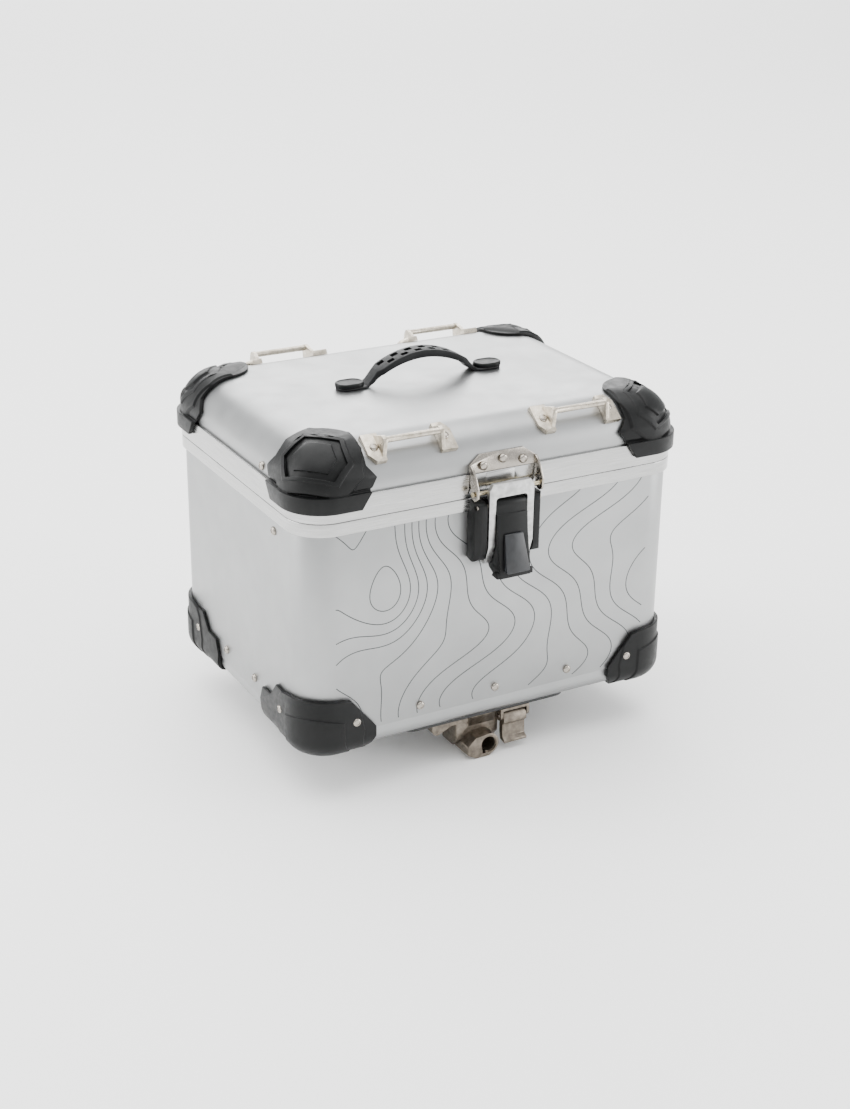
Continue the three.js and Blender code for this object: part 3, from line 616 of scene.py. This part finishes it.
lower_guard = foot_level("lower_guard", LOW_WING)
middle_outline = [(-40, -60), (40, -60), (46, -12), (42, 14), (24, 50), (-24, 50), (-42, 14), (-46, -12)]
thick = foot_level("thick", LOW_MIDDLE)
carve(thick, facing_prism("middle", middle_outline, PAD_CENTRE, PAD_RISE), "INTERSECT")
lens = arc((0, -54), 66, 62, 118, 10) + arc((0, 44), 84, 248, 292, 10)
pad = foot_level("pad", LOW_PAD)
carve(pad, facing_prism("lens", lens, PAD_CENTRE, PAD_RISE), "INTERSECT")
join(lower_guard, thick, pad)

cut_to_corner(lower_guard, front_wing, side_wing, foot_outline)
carve(lower_guard, case_block("walls_inside", GAP, WALL_BOTTOM - GAP, LOWER_TOP + 5))
carve(lower_guard, case_block("tray_inside", -SHEET, TRAY_BOTTOM - GAP, LOWER_TOP + 5, bottom_bend=TRAY_BEND))
soften(merge_close(lower_guard), EDGE, 3, 40, clamp=False)
print("lower guard:", len(lower_guard.data.polygons), "faces")

# %% All eight guards
corners = {"front_left": (1, 1), "front_right": (-1, 1), "rear_left": (1, -1), "rear_right": (-1, -1)}
for where, mirror in corners.items():
    low = twin(lower_guard, f"lower_corner_{where}", *mirror)
    finish(low, "case", moulded_nylon, [f"lower_guard_{where}"], angle=38)
    high = twin(upper_guard, f"upper_corner_{where}", *mirror)
    finish(high, "lid", moulded_nylon, [f"upper_guard_{where}"], angle=38)
bpy.data.objects.remove(lower_guard)
bpy.data.objects.remove(upper_guard)

# %% [markdown]
# ## Rivets
# A blind rivet has a low domed head with the small socket where its mandrel snapped off. One is shaped
# from a short cylinder for each of the three sizes, and copied to every place, turned to face outwards.

# %% One rivet of each size
def rivet_head(name, radius, rise):
    """A domed head on the plane z = 0, with the mandrel's socket in its crown."""
    head = bar(name, radius, (0, 0, -0.4), (0, 0, rise), sides=28)
    round_edges(head, radius * 0.46, 6, lambda e: middle(e).z > rise - 0.01)
    pick(head, "FACE", lambda face: face.normal.z > 0.99)
    bpy.ops.mesh.inset(thickness=radius * 0.16 * MM)
    bpy.ops.mesh.extrude_region_move(TRANSFORM_OT_translate={"value": (0, 0, -0.35 * MM)})
    leave_edit()
    return head


sheet_rivet = rivet_head("sheet_rivet", 4.4, 2.5)
tie_rivet = rivet_head("tie_rivet", 4.2, 2.4)
leaf_rivet = rivet_head("leaf_rivet", 2.8, 1.6)


def case_box(node):
    """A CAD node's box in millimetres around the middle of the walls."""
    low, high = (Vector(corner) - Vector((0, MIDDLE_Y, 0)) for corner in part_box(node))
    return low / MM, high / MM


def set_rivet(model, name, seat, facing, body, nodes=()):
    """Copy a rivet's head to a seat and turn it to face outwards."""
    head = twin(model, name)
    turn = Vector(facing).to_track_quat("Z", "Y").to_matrix().to_4x4()
    head.data.transform(Matrix.Translation(Vector(seat) * MM) @ turn)
    return finish(head, body, stainless_steel, nodes)


OUTWARD = {"front": (0, -1, 0), "rear": (0, 1, 0), "left": (-1, 0, 0), "right": (1, 0, 0)}
SET_BACK = 2.6  # from the outermost point of a CAD rivet back to the seat of its head


def rivet_for(node, side, body):
    """A rivet in place of a CAD one, on the same spot."""
    low, high = case_box(node)
    normal = Vector(OUTWARD[side])
    seat = (low + high) / 2 + normal * ((high - low).dot(Vector(map(abs, normal))) / 2 - SET_BACK)
    set_rivet(sheet_rivet, f"{node}_head", seat, normal, body, [node])


# %% Rivets of the tray and the stay
for side, count in {"front": 3, "rear": 3, "left": 2, "right": 2}.items():
    for number in range(1, count + 1):
        rivet_for(f"{side}_rivet_{number}", side, "case")
rivet_for("body_stay_rivet", "left", "case")
rivet_for("lid_stay_rivet", "left", "lid")

# %% Rivets of the lower guards
for where, (x, y) in corners.items():
    front_seat = (-158 * x, -(HALF_Y + LOW_WING) * y, 84.5)
    set_rivet(sheet_rivet, f"guard_rivet_{where}_end", front_seat, (0, -y, 0), "case")
    side_seat = (-(HALF_X + LOW_WING) * x, -105 * y, 86)
    set_rivet(sheet_rivet, f"guard_rivet_{where}_side", side_seat, (-x, 0, 0), "case")

# %% [markdown]
# ## Tie-down bars
# Each tie-down is one nickel-plated casting: two pads that follow the lid's roll, a leaning web on each,
# and a round bar between them. It is drawn flat, with z standing out of the lid, and then tipped to the
# slope of the roll.

# %% One tie-down
TILT = math.radians(37)
HALF_SPAN = 75.3 / 2
BAR_HEIGHT = 13
LEAN = 0.09  # how far a web leans towards the middle of its bar for each millimetre of height


def tie_down_foot(side):
    """One pad with its web; side is -1 or 1 along the bar."""
    pad_outline = [(8.5, -15.5), (8.5, 7), (2, 15.5), (-8.5, 15.5), (-8.5, -15.5)]
    pad = plate("pad", [(side * (HALF_SPAN + u), side * v) for u, v in pad_outline], "z", -3.5, 3)
    inner = side * (HALF_SPAN - 6.1)
    web_outline = [(-14.5, 1), (13, 1), (4.2, BAR_HEIGHT + 1.5), (1.5, BAR_HEIGHT + 3.2),
                   (-1.5, BAR_HEIGHT + 3.2), (-4.2, BAR_HEIGHT + 1.5)]
    web = plate("web", [(side * u, v) for u, v in web_outline], "x", inner - 2, inner + 2)
    lean = Matrix.Identity(4)
    lean[0][2] = -side * LEAN
    web.data.transform(lean)
    return join(pad, web)


tie_down = tie_down_foot(-1)
join(tie_down, tie_down_foot(1))
rod = bar("rod", 3, (-HALF_SPAN + 6, 0, BAR_HEIGHT), (HALF_SPAN - 6, 0, BAR_HEIGHT))
join(tie_down, rod)
carve(tie_down, bar("roll", LID_BEND + GAP, (-60, 0, -LID_BEND), (60, 0, -LID_BEND), sides=128))
soften(tie_down, 0.8, 3, 40)
roll_y, roll_z = HALF_Y - LID_BEND, LID_TOP - LID_BEND
seat = Vector((0, -roll_y - LID_BEND * math.sin(TILT), roll_z + LID_BEND * math.cos(TILT)))
tip = Matrix.Translation(seat * MM) @ Matrix.Rotation(TILT, 4, "X")
print("tie-down:", len(tie_down.data.polygons), "faces")

# %% Four tie-downs and their rivets
TIE_DOWN_X = 92.5
slope_up = Vector((0, -math.sin(TILT), math.cos(TILT)))
tie_down.data.transform(tip)
for end, turn in (("front", 1), ("rear", -1)):
    for where, side in (("left", -1), ("right", 1)):
        copy = twin(tie_down, f"tie_bar_{end}_{where}", turn, turn, (side * TIE_DOWN_X, 0, 0))
        finish(copy, "lid", nickel_casting, [f"tie_down_{end}_{where}"], angle=40)
        for number, along in enumerate((-HALF_SPAN, HALF_SPAN)):
            head_seat = seat + slope_up * 2.8
            place = (side * TIE_DOWN_X + along, head_seat.y * turn, head_seat.z)
            set_rivet(tie_rivet, f"tie_rivet_{end}_{where}_{number + 1}", place,
                      (0, slope_up.y * turn, slope_up.z), "lid")
bpy.data.objects.remove(tie_down)

# %% [markdown]
# ## Latch
# The toggle latch has a moulded base, a lever that pivots near the top of the base, and a cast draw frame
# that the lever pulls down over the keeper's pin. A flap on the lever covers the lock.

# %% Pivots of the latch
def pivot(node):
    """The axis of a CAD pin as (y, z), and its half length."""
    low, high = case_box(node)
    return (low.y + high.y) / 2, (low.z + high.z) / 2, high.x


def pin(name, node, radius, body, material=stainless_steel):
    """A pin along x with a chamfered head at each end, in place of a CAD one."""
    y, z, reach = pivot(node)
    shaft = bar(name, radius, (-reach, y, z), (reach, y, z))
    for end in (-1, 1):
        inner, outer = sorted((end * (reach - 1.3), end * reach))
        join(shaft, bar("head", radius * 1.25, (inner, y, z), (outer, y, z)))
    return finish(soften(shaft, 0.35), body, material, [node])


def pin_hole(piece, node, radius):
    y, z, _ = pivot(node)
    return carve(piece, bar("hole", radius, (-60, y, z), (60, y, z)))


# %% Keeper on the lid
EAR_X = 36
plate_face = -HALF_Y - 1.5
plate_foot, plate_top = heights("keeper_bracket")[0] + 24.5, heights("keeper_bracket")[1]
slope = [(plate_face, plate_foot), (plate_face + 3.55, plate_top), (plate_face + 1.55, plate_top),
         (plate_face - 2, plate_foot)]
face = [(-37, 319), (37, 319), (37, 329), (24, plate_top), (-24, plate_top), (-37, 329)]
keeper = plate("keeper", slope, "x", -37, 37)
carve(keeper, plate("face", face, "y", -180, -140), "INTERSECT")
ear_outline = ([(-159.3, plate_foot), (-162.5, plate_foot), (-163.2, 305)]
               + arc((-171, 302.6), 6.2, -20, -165, 7)
               + [(-176.9, 309), (-174.4, 314), (-171.5, 320), (-167.4, 326)]
               + arc((-161.6, 326.4), 3.1, 130, 60, 3))
for side in (-1, 1):
    join(keeper, plate("ear", ear_outline, "x", side * EAR_X - 1, side * EAR_X + 1))
pin_hole(keeper, "keeper_pin", 2.75)
finish(soften(keeper, 0.45), "lid", stainless_steel, ["keeper_bracket"])
pin("keeper_rod", "keeper_pin", 2.0, "lid", zinc_plate)
for number in (1, 2, 3):
    rivet_for(f"keeper_rivet_{number}", "front", "lid")

# %% Base of the latch
wing_inner, wing_outer = 26, 37
base_low, base_high = heights("latch_base")
rim_bottom = BODY_RIM_BOTTOM - 0.5
wall_face = -HALF_Y - GAP
rim_face = -HALF_Y - RIM_PROUD - GAP
wing_side = ([(wall_face, base_low + 2)] + arc((-166.5, base_low + 12), 12, -95, -180, 6)
             + [(-178.5, 288)] + arc((-172, 288.5), 6.5, 180, 95, 5)
             + [(rim_face, base_high), (rim_face, rim_bottom), (wall_face, rim_bottom)])
latch_base = block("base_plate", (-wing_inner - 1, wall_face - 2.4, 235),
                   (wing_inner + 1, wall_face, rim_bottom))
for side in (-1, 1):
    wing = plate("wing", wing_side, "x", *sorted((side * wing_inner, side * wing_outer)))
    edge_x = side * wing_outer
    chamfer = [(edge_x + side * 1, -171), (edge_x + side * 1, -181), (edge_x - side * 6.4, -181)]
    carve(wing, plate("chamfer", chamfer, "z", 220, 300))
    join(latch_base, wing)
pin_hole(latch_base, "lever_pivot_pin", 2.3)
finish(soften(latch_base, 0.8, 3), "case", moulded_nylon, ["latch_base"])
pin("lever_axle", "lever_pivot_pin", 1.7, "case")

# %% Lever with its flared lip
lever_half = 16.9
lever_side = ([(-179.8, 290)] + arc((-173.6, 290), 6.2, 170, 10, 8)
              + [(-165.4, 262), (-164.6, 240), (-163.4, 231), (-168, 224), (-178, 219), (-190, 218.5),
                 (-189.5, 225), (-183, 262), (-181.2, 281.5), (-179.9, 282)])
lever = plate("lever", lever_side, "x", -lever_half, lever_half)
lip = plate("lip", [(-178, 219), (-190, 218.5), (-189.4, 225.6), (-180, 223)], "x", -20.4, 20.4)
join(lever, soften(lip, 1.2, 2, 50))
pin_hole(lever, "lever_pivot_pin", 2.3)
pin_hole(lever, "frame_pivot_pin", 2.3)
LOCK_Z, LOCK_RADIUS = 243, 5.5
carve(lever, bar("lock_bore", LOCK_RADIUS + GAP, (0, -201, LOCK_Z), (0, -171 + GAP, LOCK_Z)))
finish(soften(lever, 0.6), "lever", moulded_nylon, ["latch_lever"])
pin("frame_axle", "frame_pivot_pin", 1.7, "lever")

# %% Draw frame
frame_outer, frame_inner = 24.7, 17.6
leg = ([(-179.5, 313), (-179.5, 250), (-173, 231)] + arc((-168, 234), 5.2, 215, 330, 6)
       + [(-164, 236), (-169, 243), (-175.9, 256), (-175.9, 297), (-174.2, 299), (-174.2, 313)])
outline = [(-frame_outer, 220), (frame_outer, 220), (frame_outer, 307), (20.5, 313), (-20.5, 313),
           (-frame_outer, 307)]
window = ([(-frame_inner, 219), (frame_inner, 219)] + arc((frame_inner - 3.5, 295.5), 3.5, 0, 90, 5)
          + arc((3.5 - frame_inner, 295.5), 3.5, 90, 180, 5))
draw_frame = plate("draw_frame", leg, "x", -frame_outer, frame_outer)
carve(draw_frame, plate("outline", outline, "y", -190, -150), "INTERSECT")
carve(draw_frame, plate("window", window, "y", -191, -149))
pin_hole(draw_frame, "frame_pivot_pin", 2.3)
finish(soften(draw_frame, 1.1, 3), "frame", cast_aluminium, ["latch_frame"])

# %% Flap and lock
cover = plate("cover", [(-183.5, 262), (-189.9, 225.4), (-197, 225.4), (-185.8, 262)], "x", -20, 20)
carve(cover, plate("taper", [(-10.2, 263), (-13, 224), (13, 224), (10.2, 263)], "y", -200, -170), "INTERSECT")
finish(soften(cover, 1.0, 3), "cover", worn_nylon, ["lock_cover"])

barrel = bar("lock", LOCK_RADIUS, (0, -185, LOCK_Z), (0, -171, LOCK_Z), sides=40)
soften(barrel, 0.5)
carve(barrel, block("keyway", (-0.9, -186, LOCK_Z - 3.2), (0.9, -180, LOCK_Z + 3.2)))
finish(barrel, "lock", stainless_steel, ["lock_cylinder"])
print("latch made")

# %% [markdown]
# ## Carrying handle
# A moulded strap arches between two oval caps. Its grip is lightened by two rows of pockets, set
# alternately so that the web between them runs in a zigzag.

# %% Strap
HANDLE_Y, STRAP_HALF = 8, 10.5
ARCH_END = 52
OVER, UNDER = (15, 47.4), (10.5, 41)  # heights of each curve's ends and of its control point
base = LID_TOP + GAP


def arch(x, side_height, crown):
    """Height of the strap's curve at x: a parabola between its ends at 52 mm from the middle."""
    t = (x + ARCH_END) / (2 * ARCH_END)
    return base + side_height * ((1 - t) ** 2 + t ** 2) + 2 * crown * t * (1 - t)


steps = [-48 + i * 4 for i in range(25)]
under = [(-94, base), (-61, base), (-55, base + 3.5)]
under += [(x, arch(x, *UNDER) - 2.2) for x in steps]
under += [(55, base + 3.5), (61, base), (94, base)]
over = [(94, base + 2.4), (64, base + 2.4), (59.5, base + 6)]
over += [(x, arch(x, *OVER)) for x in reversed([-ARCH_END] + steps + [ARCH_END])]
over += [(-59.5, base + 6), (-64, base + 2.4), (-94, base + 2.4)]
strap = plate("strap", under + over, "y", -STRAP_HALF, STRAP_HALF)
for side in (-1, 1):
    waist = [(-66, 12), (-51, 12), (-46, STRAP_HALF), (-52, 7.2), (-61, 7.2), (-66, STRAP_HALF)]
    for end in (-1, 1):
        carve(strap, plate("waist", [(end * x, side * y) for x, y in waist], "z", base - 1, base + 40))
round_edges(strap, 9.5, 8, lambda e: upright(e) and abs(middle(e).x) > 93.9)
soften(strap, 1.0, 3, 50)
POCKETS, POCKET_PITCH = 12, 7.8
for number in range(POCKETS):
    x = (number - (POCKETS - 1) / 2) * POCKET_PITCH
    rise = (arch(x + 1, *OVER) - arch(x - 1, *OVER)) / 2
    pocket = block("pocket", (-3.9, -3.1, -3.2), (3.9, 3.1, 4))
    round_edges(pocket, 0.8, 2, upright)
    place = Matrix.Translation(Vector((x, 4.2 * (-1) ** number, arch(x, *OVER))) * MM)
    pocket.data.transform(place @ Matrix.Rotation(-math.atan(rise), 4, "Y"))
    carve(strap, pocket)
strap.data.transform(Matrix.Translation((0, HANDLE_Y * MM, 0)))
finish(strap, "lid", soft_grip, ["handle_strap"])

# %% Oval caps of the handle
CAP_X = 80
low, high = heights("handle_foot_left")
cap = block("handle_cap", (-15, -11, low), (15, 11, high))
round_edges(cap, 10.9, 12, upright)
round_edges(cap, 1.6, 4, lambda e: middle(e).z > high - 0.01)
pick(cap, "FACE", lambda face: face.normal.z > 0.99)
bpy.ops.mesh.inset(thickness=1.2 * MM)
bpy.ops.mesh.extrude_region_move(TRANSFORM_OT_translate={"value": (0, 0, -0.5 * MM)})
leave_edit()
soften(cap, 0.2, 2, 50)
for where, side in (("left", -1), ("right", 1)):
    copy = twin(cap, f"handle_cap_{where}", shift=(side * CAP_X, HANDLE_Y, 0))
    finish(copy, "lid", moulded_nylon, [f"handle_foot_{where}"])
bpy.data.objects.remove(cap)
print("handle made")

# %% [markdown]
# ## Quick-release foot
# A steel plate is bolted under the tray. The casting at its front carries the barrel for the lock, a
# steel catch and the paddle that draws it back. Two hooks at the rear reach round a tube of the rack.

# %% Mounting plate and its bolts
PLATE_BOTTOM, PLATE_TOP = heights("mount_plate")
PLATE_BOLTS = [(-70, -112), (70, -112), (-60, 118), (60, 118)]
mount = block("mounting_plate", (-96, -146, PLATE_BOTTOM), (96, 136, PLATE_TOP))
round_edges(mount, 14, 8, upright)
for x, y in PLATE_BOLTS:
    carve(mount, bar("hole", 3.4, (x, y, PLATE_BOTTOM - 5), (x, y, PLATE_TOP + 5)))
finish(soften(mount, 0.4), "case", powder_coat, ["mount_plate"])


def hexagon(name, across, bottom, top):
    """A hexagonal head or nut with its edges rounded."""
    nut = bar(name, across / 2 / math.cos(math.radians(30)), (0, 0, bottom), (0, 0, top), sides=6)
    return soften(nut, 0.4)


ACROSS_FLATS, NUT_HEIGHT = 10, 4
low, high = heights("plate_bolt_1")
bolt = hexagon("bolt", ACROSS_FLATS, low, PLATE_BOTTOM - GAP)
join(bolt, bar("shank", 3, (0, 0, PLATE_BOTTOM - 1), (0, 0, high - 0.3)))
join(bolt, hexagon("nut", ACROSS_FLATS, high - NUT_HEIGHT, high))
for number, (x, y) in enumerate(PLATE_BOLTS, 1):
    copy = twin(bolt, f"bolt_{number}", shift=(x, y, 0))
    finish(copy, "case", zinc_plate, [f"plate_bolt_{number}"])
bpy.data.objects.remove(bolt)

# %% Casting of the foot
top = PLATE_BOTTOM - GAP
flange = ([(-58, top), (-58, 36)] + arc((-52, 35), 6, 190, 300, 5)
          + [(-36, 36), (44, 36), (48, 40), (48, top)])
housing = plate("housing", flange, "y", -134, -104)
shoulder = [(-128, top), (-134, 32), (-134, 18), (-126, 8), (-104, 8), (-104, top)]
join(housing, soften(plate("shoulder", shoulder, "x", -30, 20), 2, 3, 50))
ledge = [(-140, top), (-140, 43), (-136, 38.5), (-134, 30), (-104, 30), (-104, top)]
join(housing, soften(plate("ledge", ledge, "x", -16, 15), 1, 2, 30))
BORE_Z = 13.7
lobe = ([(-24.5, 5.5), (-15, 0), (1, 0)] + arc((0, BORE_Z), 12, -60, 110, 14) + [(-15, 24), (-24.5, 15)])
join(housing, soften(plate("lobe", lobe, "y", -150, -104), 0.9, 3, 40))
carve(housing, bar("bore", 8, (0, -151, BORE_Z), (0, -123, BORE_Z), sides=48))
carve(housing, bar("counterbore", 9.2, (0, -151, BORE_Z), (0, -148.8, BORE_Z), sides=48))
carve(housing, block("key_notch", (-7.5, -151, BORE_Z - 9.5), (-3.5, -123, BORE_Z - 4)))
carve(housing, block("catch_slot", (-10.3, -121, 5.7), (10.3, -103, 20.3)))
carve(housing, bar("pin_slot", 2.3, (13, -141, 38), (60, -141, 38)))
finish(soften(housing, 0.4), "case", foot_casting, ["release_housing"])

# %% Bracket, paddle and catch
lug = [(-146, top), (-146, 37)] + arc((-141, 38), 5, 190, 350, 7) + [(-135, top)]
bracket = block("bracket", (16, -146, 44.4), (50, -135, top))
for start in (16, 47):
    join(bracket, plate("lug", lug, "x", start, start + 3))
pin_hole(bracket, "release_pin", 2.3)
finish(soften(bracket, 0.5), "case", foot_casting, ["release_bracket"])

paddle_side = ([(-145, 40), (-142.5, 42), (-139, 41), (-137, 38), (-137.4, 20), (-139, 10)]
               + [(-148.5, 8), (-149, 11), (-144, 14), (-143.5, 28), (-147, 31), (-147, 35)])
paddle = plate("paddle", paddle_side, "x", 19.4, 46.6)
pin_hole(paddle, "release_pin", 2.3)
finish(soften(paddle, 0.8, 3), "paddle", foot_casting, ["release_paddle"])
y, z, _ = pivot("release_pin")
paddle_pin = bar("paddle_pin", 2, (15.5, y, z), (50.5, y, z))
finish(soften(paddle_pin, 0.4), "case", stainless_steel, ["release_pin"])
catch_side = [(-112, 6), (-100, 6), (-92, 12), (-92, 16), (-96, 20), (-112, 20)]
catch = plate("catch", catch_side, "x", -10, 10)
finish(soften(catch, 0.6, 2, 30), "catch", stainless_steel, ["release_catch"])

# %% Rear hooks
throat = arc((106, 23), 10, -90, -270, 14)
hook_outline = ([(84, top), (84, 6), (90, 0), (122, 0), (130, 6), (130, 13)] + throat
                + [(130, 33), (130, top)])
HOOK_X = 88
hook = soften(plate("hook", hook_outline, "x", -5, 5), 0.7)
for where, side in (("left", -1), ("right", 1)):
    copy = twin(hook, f"hook_{where}", shift=(side * HOOK_X, 0, 0))
    finish(copy, "case", powder_coat, [f"rear_hook_{where}"])
bpy.data.objects.remove(hook)
print("foot made")

# %% [markdown]
# ## Rear hinge
# A long rolled hinge: each leaf is a strip of steel with every second knuckle curled from its edge.

# %% Leaves, pin and rivets of the hinge
HINGE_HALF, KNUCKLES, JOINT_Z = 125, 9, LID_RIM_BOTTOM - 0.15
AXIS_Y = HALF_Y + 7.1
back = HALF_Y + RIM_PROUD + GAP
pitch = 2 * HINGE_HALF / KNUCKLES


def leaf(name, first, strip_from, strip_to):
    """A strip with its knuckles and the webs that lead round to them."""
    low, high = sorted((strip_from, strip_to))
    made = block(name, (-HINGE_HALF, back, low), (HINGE_HALF, back + 2, high))
    for number in range(first, KNUCKLES, 2):
        start = -HINGE_HALF + number * pitch + 0.2
        end = start + pitch - 0.4
        web_low, web_high = sorted((strip_from, JOINT_Z))
        join(made, block("web", (start, back + 0.01, web_low - 0.5), (end, back + 1.99, web_high + 0.5)))
        join(made, bar("knuckle", 3.2, (start, AXIS_Y, JOINT_Z), (end, AXIS_Y, JOINT_Z)))
    carve(made, bar("pin_hole", 1.8, (-HINGE_HALF - 1, AXIS_Y, JOINT_Z), (HINGE_HALF + 1, AXIS_Y, JOINT_Z)))
    return soften(made, 0.25)


body_leaf = leaf("leaf_on_body", 0, JOINT_Z - 3.5, heights("hinge_body_leaf")[0])
finish(body_leaf, "case", stainless_steel, ["hinge_body_leaf"])
lid_leaf = leaf("leaf_on_lid", 1, JOINT_Z + 3.5, heights("hinge_lid_leaf")[1])
finish(lid_leaf, "lid", stainless_steel, ["hinge_lid_leaf"])
rod = bar("hinge_rod", 1.5, (-HINGE_HALF - 2, AXIS_Y, JOINT_Z), (HINGE_HALF + 2, AXIS_Y, JOINT_Z))
finish(soften(rod, 0.3), "case", stainless_steel, ["hinge_pin"])
LEAF_RIVETS = 6
for number in range(LEAF_RIVETS):
    x = -HINGE_HALF + 2 * HINGE_HALF * (number + 0.5) / LEAF_RIVETS
    for leaf_name, body, height in (("body", "case", -8.6), ("lid", "lid", 10.5)):
        set_rivet(leaf_rivet, f"{leaf_name}_leaf_rivet_{number + 1}", (x, back + 1.9, JOINT_Z + height),
                  OUTWARD["rear"], body)
for model in (sheet_rivet, tie_rivet, leaf_rivet):
    bpy.data.objects.remove(model)
print("hinge made")

# %% [markdown]
# ## Contour lines
# The front is printed with the contour lines of a made-up landscape. The landscape is a grid with a
# height at each point; cutting it level by level leaves each contour as a row of edges, which becomes a
# thin ribbon of ink on the sheet.

# %% Landscape
LINE_LEFT, LINE_RIGHT = -178, 176
LINE_LOW, LINE_HIGH = WALL_BOTTOM + 4, BODY_RIM_BOTTOM - 1
LINE_WIDTH, LINE_FLATNESS = 1.1, 0.12
LEVELS, LEVEL_OFFSET = range(-9, 8), 0.3


def height_of_land(x, z):
    """A slope that rises to the right, with waves and one hollow at the upper left."""
    hollow = 3.4 * math.exp(-((x + 118) / 34) ** 2) / (1 + math.exp((176 - z) / 22))
    waves = 1.1 * math.sin(z / 33 + x / 70) + 0.35 * math.sin(z / 15 - x / 45 + 1)
    return x / 30 + waves - hollow


bpy.ops.object.select_all(action="DESELECT")
bpy.ops.mesh.primitive_grid_add(x_subdivisions=180, y_subdivisions=110, size=1)
land = bpy.context.object
land.name = "landscape"
for vertex in land.data.vertices:
    x = LINE_LEFT + (vertex.co.x + 0.5) * (LINE_RIGHT - LINE_LEFT)
    z = LINE_LOW + (vertex.co.y + 0.5) * (LINE_HIGH - LINE_LOW)
    vertex.co = Vector((x, height_of_land(x, z), z)) * MM

# %% Ribbons
contours = []
for level in LEVELS:
    contour = twin(land, f"contour_{level}")
    pick(contour, "FACE")
    bpy.ops.mesh.select_all(action="SELECT")
    bpy.ops.mesh.bisect(plane_co=(0, (level + LEVEL_OFFSET) * MM, 0), plane_no=(0, 1, 0), clear_inner=True,
                        clear_outer=True, threshold=1e-7)
    leave_edit()
    if contour.data.edges:
        contours.append(contour)
    else:
        bpy.data.objects.remove(contour)
bpy.data.objects.remove(land)
activate(*contours)
bpy.ops.object.join()
lines = bpy.context.object
lines.name = "contour_lines"
for vertex in lines.data.vertices:
    vertex.co.y = 0
bpy.ops.object.convert(target="CURVE")
lines = bpy.context.object
lines.data.bevel_depth = LINE_WIDTH / 2 * MM
lines.data.bevel_resolution = 1
lines.data.use_fill_caps = True
bpy.ops.object.convert(target="MESH")
lines = bpy.context.object
lines.data.transform(Matrix.Translation((0, -HALF_Y * MM, 0)) @ Matrix.Diagonal((1, LINE_FLATNESS, 1, 1)))
finish(lines, "case", print_ink, angle=60)
print("contour lines:", len(contours), "levels,", len(lines.data.polygons), "faces")
